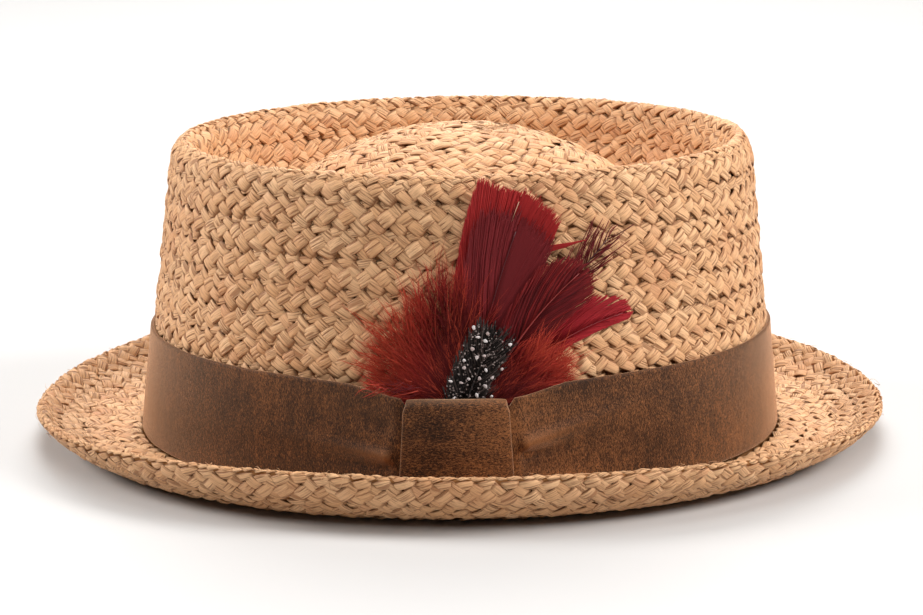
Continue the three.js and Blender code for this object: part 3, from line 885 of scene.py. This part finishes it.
def wallPoint(theta, height, offset):
    a, b = wallSizes(height)
    cos, sin = np.cos(theta), np.sin(theta)
    normal = rows(cos / a, sin / b)
    normal /= np.linalg.norm(normal, axis=-1, keepdims=True)
    x = crown["lean"] * height + a * cos + normal[..., 0] * offset
    return rows(x, b * sin + normal[..., 1] * offset, height)


def drape(along, height, offset):
    # the wall as met from the left side of the hat
    a, b = wallSizes(height)
    share = (along - crown["lean"] * height) / (a + offset)
    return rows(along, -(b + offset) * np.sqrt(np.maximum(1 - share * share, 0)), height)


def standOff(distance):
    curvature = wallStations[1, 1] / (2 * wallStations[1, 0] ** 2)
    return gap + curvature * np.maximum(band["reach"] - np.maximum(distance, band["hold"]), 0) ** 2


def gatherAt(along, height):
    beyond = np.abs(along - keeper["middle"]) - band["hold"]
    depth = np.zeros_like(height)
    for side, at, rise, deep, spread, fade in band["gathers"] + band["creases"]:
        away = (height - at - rise * beyond) / spread
        grown = smooth(beyond / band["gatherStart"]) * np.exp(-np.maximum(beyond, 0) / fade)
        here = (np.sign(along - keeper["middle"]) == side) & (beyond > 0)
        depth = depth + np.where(here, deep * np.exp(-away * away) * grown, 0)
    return depth


def leatherFinish(name, stretch):
    finish, nodes = newFinish(name)
    where = nodes.places()
    drawn = nodes.add("ShaderNodeMapping", {"Vector": where, "Scale": stretch}).outputs[0]
    clouds = nodes.noise(where, 30.0, 2.0)
    patches = nodes.noise(drawn, 420.0, 3.0, 0.6)
    grain = nodes.noise(drawn, 4300.0, 2.0, 0.6, 1.0)
    for part, share in ((patches, 0.22), (clouds, 0.35)):
        grain = nodes.math("ADD", grain, nodes.math("MULTIPLY", nodes.math("SUBTRACT", part, 0.5), share))
    # the tone is the band's gather depth: the ridges get the worn colour as a painted highlight, the valleys
    # the dark one as painted shade
    fold = nodes.attribute("tone")
    tone = nodes.layColours(colour(leather["dark"]), [
        (grain, 0.37, 0.57, 1, leather["plain"]), (grain, 0.51, 0.73, 1, leather["wornAndHighlight"]),
        (fold, 0.5, 1.9, 0.6, leather["wornAndHighlight"]), (fold, -0.2, -1.2, 0.6, leather["dark"])])
    closeFinish(nodes, tone, 0.55, 0.12, (grain, 0.0003, 0.4), {
        "Sheen Weight": 1.0, "Sheen Roughness": 0.42, "Sheen Tint": (1.0, 0.6, 0.36, 1)})
    return finish


def makeBand():
    columns = np.linspace(0, turn, band["columns"], endpoint=False)
    left = np.sin(columns) < 0
    halfLength = wallSizes(band["top"] / 2)[0]
    along = crown["lean"] * band["top"] / 2 + halfLength * np.cos(columns)
    distance = np.where(left, np.abs(along - keeper["middle"]), band["reach"])

    def pinch(held):
        near = 0.5 * smooth((distance - held) / band["pinchNear"] + 0.5)
        return np.where(left, 1 - near - 0.5 * smooth((distance - held) / band["pinchFar"]), 0)
    low = band["bottom"] + band["pinchBottom"] * pinch(band["hold"])
    high = band["top"] - band["pinchTop"] * pinch(keeper["halfTop"])
    edge, bevel = band["edge"], band["bevel"]

    def side(shares, depth):
        return [(low + edge + (high - low - 2 * edge) * share, depth) for share in shares]
    # each ring's height, and how far through the leather it lies, from the back to the face
    places = ([(low, 0.5), (low + bevel, 0.85)] + side(np.linspace(0, 1, band["rows"]), 1)
              + [(high - bevel, 0.85), (high, 0.5), (high - bevel, 0.15)]
              + side(np.linspace(1, 0, 5), 0) + [(low + bevel, 0.15)])
    folds = [np.where(left, gatherAt(along, up), 0) for up, depth in places]
    rings = [wallPoint(columns, up, standOff(distance) + fold + band["thickness"] * depth)
             for (up, depth), fold in zip(places, folds)]
    # the gather depths go with the band as its tone, from which the finish paints highlight on the ridges and
    # shade in the valleys
    return pieceFromRings("leather_band", rings, bandLeather, np.concatenate(folds), wrap=True)


def keeperRings():
    # the section's rows, rounded by a curve through them
    table = np.array(keeper["section"])
    steps = np.linspace(0, 1, 4, endpoint=False)[:, None]
    section = []
    for i in range(len(table)):
        p0, p1, p2, p3 = (table[(i + k) % len(table)] for k in (-1, 0, 1, 2))
        section.extend(cubic(p1, p2, (p2 - p0) * 0.25, (p3 - p1) * 0.25, steps))
    return np.array(section)


def keeperLoop(across, face, drawIn=0.0):
    depth, rise, inset = keeperRings().T
    low, high, back, front = (face[key] for key in ("low", "high", "back", "front"))
    top, corner = keeper["top"], keeper["cornerLength"]
    up = low + (high - low) * rise + inset * face["rounding"]
    half = (keeper["halfTop"]
            + (keeper["halfBottom"] - keeper["halfTop"]) * smooth((top - up) / (top - keeper["bottom"]))
            - keeper["cornerRound"] * smooth((up - top + corner) / corner))
    drop = keeper["cornerDrop"] * across ** 6 * smooth((up - top + 2 * corner) / (2 * corner))
    out = back + (front - back) * depth + keeper["bulge"] * depth * (1 - across * across)
    out = out + ((back + front) / 2 - out) * drawIn
    up = up + (low + (high - low) / 2 - up) * drawIn * 0.02
    return drape(keeper["middle"] + across * half, up - drop, out)


def makeKeeper():
    inside = standOff(0.0)
    inner = {"back": inside - gap, "front": inside + band["thickness"] + gap,
             "low": band["bottom"] + band["pinchBottom"] - gap,
             "high": band["top"] - band["pinchTop"] + gap + keeper["cornerDrop"], "rounding": 0.3}
    outer = {"back": inner["back"] - keeper["backWall"], "front": inner["front"] + keeper["frontWall"],
             "low": keeper["bottom"], "high": keeper["top"], "rounding": 1}
    # close to its ends the loop is drawn in, which rounds its edges
    rounding = {1.0: 0.22, 0.995: 0.1, 0.985: 0.03}
    places = np.concatenate([[-1, -0.995, -0.985], np.linspace(-0.96, 0.96, 25), [0.985, 0.995, 1]])
    rings = [keeperLoop(x, outer, rounding.get(abs(round(x, 3)), 0)) for x in places]
    rings += [keeperLoop(-x, inner) for x in places]
    return pieceFromRings("leather_keeper", rings, keeperLeather, wrap=True)


bandLeather = leatherFinish("nubuck_band", (1, 1, leather["streak"]))
keeperLeather = leatherFinish("nubuck_keeper", (leather["streak"], 1, 0.8))
dress([makeBand()], "band")
dress([makeKeeper()], "keeper")
print("leather is cut")


# Feathers: hairs are laid on a straightened feather, which is then bent and draped on the wall

# root: along and up; layer and lift: off the wall; tips: how far each side ends past the shaft's tip;
# vane: share of the length, and the reach to both sides; angles: the barbs', at root and tip
feathers = [
    {"name": "feather_low_right", "slot": "crimson_feather", "finish": "crimson",
     "root": (6, 17), "layer": 1.2, "lift": 0.2, "lean": 19.5, "bend": 62, "length": 64.2,
     "tips": (-10.5, -0.5),
     "vane": [(0, 0.7, 0.7), (0.3, 3, 2), (0.55, 6.5, 2.6), (0.75, 8.8, 2.6), (0.9, 8.6, 2.4), (1, 8.2, 2)],
     "barbs": 190, "angles": (28, 8), "from": 0.1, "width": 0.36, "clumps": 9, "parting": 2,
     "tousle": 0.8, "ragged": (0.4, 0.4), "backing": 0.8, "shaft": 0.25, "seed": 21},
    {"name": "feather_wispy", "slot": "burgundy_feather", "finish": "wispy",
     "root": (6, 17), "layer": 1.7, "lift": 0.3, "lean": 23, "bend": 22, "length": 76, "tips": (-2, -3),
     "vane": [(0, 0.6, 0.6), (0.3, 0.7, 0.7), (0.7, 2.2, 1.4), (0.85, 6.2, 4.4), (0.95, 6.4, 5), (1, 4, 3.4)],
     "barbs": 26, "angles": (21, 16), "from": 0.6, "width": 0.32, "clumps": 4, "parting": 9, "tousle": 4.5,
     "ragged": (2.6, 2.6), "backing": 0, "shaft": 0.42, "seed": 22},
    {"name": "feather_tall", "slot": "crimson_feather", "finish": "red",
     "root": (3.5, 17), "layer": 2.0, "lift": 0.8, "lean": 5, "bend": 17, "length": 78.5,
     "tips": (0.6, -4.6),
     "vane": [(0, 0.7, 0.7), (0.25, 5, 3), (0.5, 9, 7), (0.7, 11.5, 11.5), (0.88, 13.2, 13.4), (1, 13.4, 14)],
     "barbs": 320, "angles": (22, 4), "from": 0.08, "width": 0.34, "clumps": 9, "parting": 0.6,
     "tousle": 0.3, "ragged": (0.25, 0.6), "backing": 0.97, "shaft": 0.2, "seed": 23,
     "tuft": {"root": (63, 8), "heading": 60, "length": 17, "barbs": 40}},
    {"name": "feather_dark", "slot": "burgundy_feather", "finish": "burgundy",
     "root": (4.5, 17), "layer": 2.7, "lift": 0.8, "lean": 6, "bend": 15, "length": 69.5,
     "tips": (-0.5, -2.5),
     "vane": [(0, 0.7, 0.7), (0.25, 4, 3), (0.5, 7.5, 7), (0.7, 10, 9.8), (0.88, 11.8, 11.2),
              (1, 11.4, 11.4)],
     "barbs": 300, "angles": (21, 4), "from": 0.08, "width": 0.34, "clumps": 7, "parting": 0.4,
     "tousle": 0.2, "ragged": (1.8, 1.8), "backing": 0.8, "shaft": 0.16, "seed": 24},
    {"name": "feather_right", "slot": "burgundy_feather", "finish": "wine",
     "root": (5, 17), "layer": 3.4, "lift": 0.8, "lean": 14, "bend": 38, "length": 65, "tips": (-8.5, -2.4),
     "vane": [(0, 0.7, 0.7), (0.25, 3, 2.5), (0.5, 6, 4.5), (0.72, 8.6, 7), (0.9, 9.8, 8.2), (1, 9.2, 7.2)],
     "barbs": 230, "angles": (27, 10), "from": 0.1, "width": 0.36, "clumps": 12, "parting": 2.6,
     "tousle": 1.3, "ragged": (0.8, 0.7), "backing": 0.82, "shaft": 0.3, "seed": 25},
    {"name": "feather_spotted", "slot": "spotted_feather", "finish": "black",
     "root": (1.5, 22), "layer": 4.8, "lift": 0.6, "lean": 17, "bend": 9, "length": 35, "tips": (0, -4),
     "vane": [(0, 1, 1), (0.2, 5.6, 4.6), (0.4, 7, 5.4), (0.7, 7.4, 5.6), (0.9, 6.6, 6.2), (1, 5.2, 6.4)],
     "barbs": 110, "angles": (44, 22), "from": 0.05, "width": 0.36, "clumps": 12, "parting": 4, "tousle": 4,
     "ragged": (1.0, 1.6), "backing": 0.88, "shaft": 0.2, "seed": 26},
]
featherColours = {
    # deep, plain, light, shaft
    "crimson": ("7a161c", "9c2229", "a82b31", "84181e"),
    "wispy": ("3d1013", "64191c", "9a4a44", "3c1013"),
    "red": ("761819", "8f1e1e", "9c2826", "6e1716"),
    "burgundy": ("5c181c", "671b1e", "6e1e21", "54151a"),
    "wine": ("360c0e", "64171a", "8f2523", "93302b"),
    "black": ("0b0808", "191311", "5a4d49", "1e1716"),
    "paleShaft": "d9a183",
}
featherParts = {
    "barbThickness": 0.14, "shortest": 1.5, "lastBarb": 0.985, "barbHeight": (-0.06, 0.08),
    "clumpLift": 0.08, "tuftScatter": 0.8,
    "backingThickness": 0.12, "shaftHeight": 0.16, "shaftLeast": 0.12,
}
# each plume's scale on its colour ramp paints light and shade besides its own colour: the left plume lighter,
# the right one, which its lamp lights more, darker
plumes = [
    {"name": "plume_left", "root": (3.5, 30), "clumps": 48, "spill": 32, "colourAndLightScale": 1.15, "seed": 31,
     "locks": [
         # angle, length, width, swell, layer at the tip
         (-71, 30, 8, 1.4, 1.6), (-59, 33, 9, 2, 2), (-47, 37, 9, 2.4, 2.4), (-34, 37, 9, 2.4, 2.6),
         (-21, 38, 9, 2.2, 2.8), (-9, 43, 8, 1.6, 3.6), (2, 41, 7, 1, 3.8)]},
    {"name": "plume_right", "root": (9, 30), "clumps": 62, "spill": 0, "colourAndLightScale": 0.8, "seed": 32,
     "locks": [(48, 29, 8, 1.2, 4.9), (59, 31, 8, 1.4, 4.2), (69, 30, 7, 1.1, 2)]},
]
down = {
    "layer": 4.1, "leastLayer": 0.7, "wispsPerClump": 12,
    "wispSize": (0.19, 0.14),  # width, thickness
    "spillAlong": (-22, -7), "spillUp": (36.5, 39.5), "spillLength": (4, 11), "spillDarker": 0.45,
    "core": 0.5,  # share of a lock's length that the solid core reaches
    "start": (0.02, 0.87), "startPower": 1.4,  # where a clump starts in its lock, thicker near the root
    "sideways": 0.42, "fan": 0.38, "stray": 0.16, "reach": (0.26, 0.46),
    "rootScatter": 0.9, "tipScatter": 0.35, "longShare": 0.12, "longBy": 1.5,
    "deep": "541415", "plain": "9e2a25", "light": "c04a34",
}
dots = {
    "from": 9.5, "to": 33, "apart": 3.6, "scatter": 0.8, "width": (0.7, 1.35), "length": (0.8, 1.7),
    "leftOut": 0.2, "specks": 300, "speckSize": (0.22, 0.6),
    "heights": (0.42, 0.36), "thickness": (0.25, 0.15),  # of dots and of specks
    "white": ("dcd3d1", "a58d88"), "grey": ("a3948f", "4d3a36"),
}


def vaneAt(feather, share):
    # how far the vane reaches on both sides of the shaft
    shares, *sides = np.array(feather["vane"]).T
    return [np.interp(share, shares, side) for side in sides]


def bendFeather(feather, points):
    # from the straightened feather (along its shaft, across, off) to the wall
    shares = np.linspace(0, 1.3, 131)
    angles = np.radians(feather["lean"] + feather["bend"] * shares)
    step = feather["length"] * (shares[1] - shares[0]) / 2
    along, up = (start + step * np.append(0, np.cumsum(wave(angles[1:]) + wave(angles[:-1])))
                 for start, wave in zip(feather["root"], (np.sin, np.cos)))
    share = points[:, 0] / feather["length"]
    angle, x, z = (np.interp(share, shares, column) for column in (angles, along, up))
    off = feather["layer"] + feather["lift"] * np.clip(share, 0, 1) ** 3 + points[:, 2]
    return drape(x + points[:, 1] * np.cos(angle), z - points[:, 1] * np.sin(angle), off)


def hairsAlong(root, off, run, width, thickness):
    # hairs that lie from their roots along their runs
    return {"place": np.column_stack([root, off]), "turn": np.arctan2(run[:, 1], run[:, 0]),
            "roll": np.zeros(len(run)), "size": rows(np.hypot(run[:, 0], run[:, 1]), width, thickness)}


def barbPoints(feather, rng):
    # roots down both sides of the shaft; each barb runs until it leaves the vane's outline
    length, count, tousle, first = (feather[key] for key in ("length", "barbs", "tousle", "from"))
    low, high = feather["angles"]
    steps = np.linspace(0, length * 1.2, 240)
    batches = []
    for side, (way, tip, ragged) in enumerate(zip((-1, 1), feather["tips"], feather["ragged"])):
        share = first + (featherParts["lastBarb"] - first) * np.arange(count) / (count - 1)
        share = share + rng.normal(0, 0.2 / count, count)
        partings = np.sort(rng.uniform(first, 1, feather["clumps"]))
        clump = np.searchsorted(partings, share)
        ends = np.concatenate([[first], partings, [1]])
        within = (share - ends[clump]) / np.maximum(ends[clump + 1] - ends[clump], 0.02)
        angle = low + (high - low) * share
        angle = angle + feather["parting"] * (within - 0.5) + rng.normal(0, tousle, count)
        angle = np.radians(np.maximum(angle, 2))[:, None]
        along = share[:, None] * length + steps * np.cos(angle)
        across = steps * np.sin(angle)
        reach = length + tip * np.minimum(across / feather["vane"][-1][1 + side], 1) ** 3
        left = (across > vaneAt(feather, along / length)[side]) | (along > reach)
        run = steps[np.argmax(left, axis=1)]
        run = run * rng.uniform(0.985, 1.0, count) + rng.normal(0, ragged, count)
        off = rng.uniform(*featherParts["barbHeight"], count) * min(tousle, 2)
        off = off + featherParts["clumpLift"] * (1 - within)
        batches.append({
            "place": rows(share * length, 0, off), "turn": way * angle[:, 0],
            "roll": np.full(count, 0.0 if side else math.pi),
            "size": rows(np.maximum(run, featherParts["shortest"]), feather["width"],
                         featherParts["barbThickness"])})
    if "tuft" in feather:
        # barbs that stand off the vane's side, together at their tips
        tuft = feather["tuft"]
        heading = math.radians(tuft["heading"])
        outwards = np.array([math.cos(heading), math.sin(heading)])
        root = np.array(tuft["root"]) + rng.normal(0, featherParts["tuftScatter"], (tuft["barbs"], 2))
        run = tuft["root"] + tuft["length"] * rng.uniform(0.7, 1, (tuft["barbs"], 1)) * outwards - root
        off = rng.uniform(0, 0.1, tuft["barbs"])
        batches.append(hairsAlong(root, off, run, feather["width"], featherParts["barbThickness"]))
    return joined(batches)


def featherFinish(kind):
    deep, plain, light = featherColours[kind][:3]
    finish, nodes = newFinish("feather_" + kind)
    shade = nodes.attribute("shade")
    where = nodes.places()
    tone = nodes.layColours(colour(plain), [
        (shade, 0.45, 1.0, 0.75, deep), (shade, 0.16, 0.0, 0.8, light),
        (nodes.noise(where, 120.0, 2.0), 0.4, 0.7, 0.3, deep),
        (nodes.attribute("tone"), 0.55, 0.15, 0.7, deep), (nodes.fibre()[0], 0.7, 1.0, 0.35, light)])
    if kind == "black":
        tone = nodes.layColours(tone, [(nodes.noise(where, 1500.0, 1.0), 0.58, 0.7, 0.45, light)])
    closeFinish(nodes, tone, 0.6, 0.12)
    return finish


def shaftFinish(kind):
    # the red one's shaft is pale near its tip
    finish, nodes = newFinish("shaft_" + kind)
    tone = nodes.layColours(colour(featherColours[kind][3]), [
        (nodes.attribute("tone"), 0.84, 0.88, 0.75 if kind == "red" else 0, featherColours["paleShaft"])])
    closeFinish(nodes, tone, 0.4, 0.5)
    return finish


def backingOf(feather, finish):
    # the closed middle of the vane, under its barbs
    half = np.array([-1, -0.5, 0, 0.5, 1])
    across = np.append(half, half[::-1])
    thickness = featherParts["backingThickness"]
    off = np.repeat([1, -1], len(half)) * thickness / 2 - thickness
    shares = np.linspace(0, 0.98 if feather["backing"] > 0.9 else 0.93, 16)
    rings = []
    for share in shares:
        width = np.where(across < 0, *vaneAt(feather, share)) * feather["backing"]
        reach = np.where(across < 0, *feather["tips"]) * np.abs(across) ** 3 * share ** 3
        rings.append(bendFeather(feather, rows(share * feather["length"] + reach, across * width, off)))
    return pieceFromRings(
        feather["name"] + "_backing", rings, finish, np.repeat(shares, len(across)), closeEnds=True)


def shaftOf(feather, finish):
    angles = np.linspace(0, turn, 6, endpoint=False)
    shares = np.linspace(0, 0.97, 20)
    rings = []
    for share in shares:
        radius = max(feather["shaft"] * (1.6 - 1.4 * share), featherParts["shaftLeast"])
        across, off = radius * np.cos(angles), featherParts["shaftHeight"] + radius * np.sin(angles)
        rings.append(bendFeather(feather, rows(share * feather["length"], across, off)))
    return pieceFromRings(
        feather["name"] + "_shaft", rings, finish, np.repeat(shares, len(angles)), closeEnds=True)


def makeFeather(feather):
    name, kind, seed = feather["name"], feather["finish"], feather["seed"]
    finish = featherFinish(kind)
    rng = np.random.default_rng(seed)
    barbs = layShapes(name + "_barbs", barbPoints(feather, rng), barbShapes, finish, 0.0, 0.015, seed)
    flat = readPoints(barbs.data)
    writeTone(barbs.data, flat[:, 0] / feather["length"])
    writePoints(barbs.data, bendFeather(feather, flat))
    pieces = [barbs, shaftOf(feather, shaftFinish(kind))]
    if feather["backing"]:
        pieces.append(backingOf(feather, finish))
    if kind == "black":
        pieces.append(dotsOf(feather, rng))
    dress(pieces, name)


def dotShape(name, sides, skew):
    # a flat drop of 1 by 1 and as much thick
    angles = np.linspace(0, turn, sides, endpoint=False)
    radius = 0.5 + 0.12 * np.cos(angles + skew) + 0.07 * np.cos(3 * angles)
    rings = [np.array([(0, 0, -0.3)])]
    for size, up in ((1, -0.2), (0.8, 0.3)):
        rings.append(rows(size * radius * np.cos(angles), size * radius * np.sin(angles), up))
    rings.append(np.array([(0, 0, 0.45)]))
    return meshFromRings(name, [ring / mm for ring in rings], None)


def dotFinish():
    finish, nodes = newFinish("feather_dots")
    shade, whole = nodes.attribute("shade"), nodes.attribute("tone")
    pale, stained = (colour(code) for code in dots["white"])
    grey, dark = (colour(code) for code in dots["grey"])
    dotTone = nodes.blendColours(nodes.between(shade, 0.3, 1), pale, stained)
    closeFinish(nodes, nodes.blendColours(whole, nodes.blendColours(shade, grey, dark), dotTone), 0.6, 0.15)
    return finish


def dotsOf(feather, rng):
    length, specks, apart = feather["length"], dots["specks"], dots["apart"]
    places = []
    for row, along in enumerate(np.arange(dots["from"], dots["to"], apart * 0.8)):
        left, right = vaneAt(feather, along / length)
        for across in np.arange(-left + 0.8 + row % 2 * apart / 2, right - 0.4, apart):
            places.append((along, across, dots["heights"][0]))
    places = np.array(places)
    places[:, :2] += rng.normal(0, dots["scatter"], (len(places), 2))
    places = places[rng.random(len(places)) > dots["leftOut"]]
    count = len(places)
    along = rng.uniform(dots["from"] - 2, dots["to"] + 1.5, specks)
    left, right = vaneAt(feather, along / length)
    across = -left + (left + right) * rng.uniform(0, 1, specks)
    places = np.concatenate([places, rows(along, across, dots["heights"][1])])
    long, wide = (np.append(rng.uniform(*dots[key], count), rng.uniform(*dots["speckSize"], specks))
                  for key in ("length", "width"))
    points = {"place": places, "size": rows(long, wide, np.repeat(dots["thickness"], (count, specks))),
              "turn": rng.uniform(0, turn, count + specks), "tone": np.repeat([1.0, 0.0], (count, specks))}
    piece = layShapes(feather["name"] + "_dots", points, dotShapes, dotFinish(), 0.3, 0.2, feather["seed"])
    writePoints(piece.data, bendFeather(feather, readPoints(piece.data)))
    return piece


barbShapes = hairShapes("barbs", "barb", blunt, [(1.2, 0, 0.3), (1.8, 0, 0.4), (0.8, 0, 0.2)])
wispShapes = hairShapes("wisps", "wisp", slender, [
    (0, 9, 0.75), (0, -9, 0.75), (5, -6, 0.75), (-5, 6, 0.75), (1, 2, 0.75)])
dotShapes = shapeCollection("dots", [dotShape("dot_a", 8, 0.0), dotShape("dot_b", 7, 1.4)])
for feather in feathers:
    makeFeather(feather)
print("feathers are laid")


# Plumes: down that fans out from one root, deeper near it

lockColumns = ("angle", "length", "width", "swell", "tip")


def lockAt(plume, name, angle):
    # a size of the locks, between one heading and the next
    locks = np.array(plume["locks"], dtype=float).T
    return np.interp(angle, locks[0], locks[lockColumns.index(name)])


def downLayer(plume, along, up, off, spill=0.0):
    # how far off the wall the down lies at a place, and how far out it is in its lock
    x, z = along - plume["root"][0], up - plume["root"][1]
    angle = np.degrees(np.arctan2(x, z))
    length, swell, tip = (lockAt(plume, name, angle) for name in ("length", "swell", "tip"))
    share = np.hypot(x, z) / length
    outer = smooth((np.abs(angle) - 5) / 40)
    grown = smooth((share - 0.3) / 0.4) * (1 - 0.6 * smooth((share - 0.75) / 0.25))
    half = (0.45 + (swell - 0.45) * grown) / 2
    layer = down["layer"] + (tip - down["layer"]) * smooth((share - 0.35) / 0.5) + off * half
    over = standOff(np.abs(along - keeper["middle"])) + band["thickness"] + 0.5 + 0.3 * off
    return layer + (over - layer) * spill * smooth((band["top"] + 3 - up) / 4), share * (0.5 + 0.5 * outer)


def wispPoints(plume, rng):
    each = down["wispsPerClump"]
    batches = []
    for angle, length, width in (lock[:3] for lock in plume["locks"]):
        lock = math.radians(angle)
        outwards = np.array([math.sin(lock), math.cos(lock)])
        sideways = np.array([math.cos(lock), -math.sin(lock)])
        for clump in range(plume["clumps"]):
            share = rng.uniform(*down["start"]) ** down["startPower"]
            side = rng.normal(0, down["sideways"])
            half = width / 2 * (0.3 + 0.7 * math.sin(math.pi * min(0.1 + 0.86 * share, 1)))
            heading = lock + side * down["fan"] + rng.normal(0, down["stray"])
            reach = length * rng.uniform(*down["reach"]) * (1.12 - 0.55 * share)
            # the wisps of a clump run together at its tip
            middle = plume["root"] + share * length * outwards + side * half * sideways
            root = middle + rng.normal(0, down["rootScatter"], (each, 2))
            longer = np.where(rng.random(each) < down["longShare"], down["longBy"], 1.0)
            longer = longer * rng.uniform(0.75, 1.05, each)
            tip = middle + reach * longer[:, None] * np.array([math.sin(heading), math.cos(heading)])
            run = tip + rng.normal(0, down["tipScatter"], (each, 2)) - root
            batches.append(hairsAlong(root, rng.uniform(-1, 1, each), run, *down["wispSize"]))
    return joined(batches)


def spillPoints(plume, rng):
    # loose wisps that hang over the band's upper edge
    count = plume["spill"]
    along, up = (rng.uniform(*down[key], count) for key in ("spillAlong", "spillUp"))
    return {
        "place": rows(along, up, rng.uniform(0, 1, count)),
        "turn": math.pi + rng.uniform(-0.1, 0.55, count),
        "size": rows(rng.uniform(*down["spillLength"], count), *down["wispSize"])}


def downFinish():
    finish, nodes = newFinish("orange_down")
    shade = nodes.attribute("shade")
    out = nodes.attribute("tone")
    tone = nodes.layColours(colour(down["deep"]), [
        (out, 0.36, 0.66, 1, down["plain"]), (out, 0.55, 0.95, 1, down["light"]),
        (shade, 0.6, 1.0, 0.55, down["deep"]), (shade, 0.35, 0.0, 0.7, down["light"])])
    closeFinish(nodes, tone, 0.7, 0.1)
    return finish


def coreOf(plume, finish):
    # the thick middle of the down, one section for each heading
    shares = np.linspace(0.05, down["core"], 7)
    outline = np.append(shares, shares[::-1])
    off = np.repeat([0.5, -0.5], len(shares))
    headings = np.linspace(plume["locks"][0][0], plume["locks"][-1][0], 40)
    rings = []
    for heading in headings:
        length = lockAt(plume, "length", heading) * (0.9 + 0.1 * math.cos(heading * 0.5))
        angle = math.radians(heading)
        x = plume["root"][0] + outline * length * math.sin(angle)
        z = plume["root"][1] + outline * length * math.cos(angle)
        rings.append(drape(x, z, downLayer(plume, x, z, off)[0]))
    return pieceFromRings(
        plume["name"] + "_core", rings, finish, np.tile(outline * 0.6, len(headings)), closeEnds=True)


def makePlume(plume):
    rng = np.random.default_rng(plume["seed"])
    batches = [("_wisps", wispPoints(plume, rng), 0.0)]
    if plume["spill"]:
        batches.append(("_spill", spillPoints(plume, rng), 1.0))
    pieces = [coreOf(plume, downy)]
    for suffix, points, spill in batches:
        piece = layShapes(plume["name"] + suffix, points, wispShapes, downy, 0.0, 0.3, plume["seed"])
        along, up, off = readPoints(piece.data).T
        layer, share = downLayer(plume, along, up, off, spill)
        # painted light and shade: the plume's scale shifts its colour against the light it gets
        writeTone(piece.data, share * plume["colourAndLightScale"] - down["spillDarker"] * spill)
        writePoints(piece.data, drape(along, up, np.maximum(layer, down["leastLayer"])))
        pieces.append(piece)
    dress(pieces, plume["name"])


downy = downFinish()
for plume in plumes:
    makePlume(plume)
print("plumes are laid")
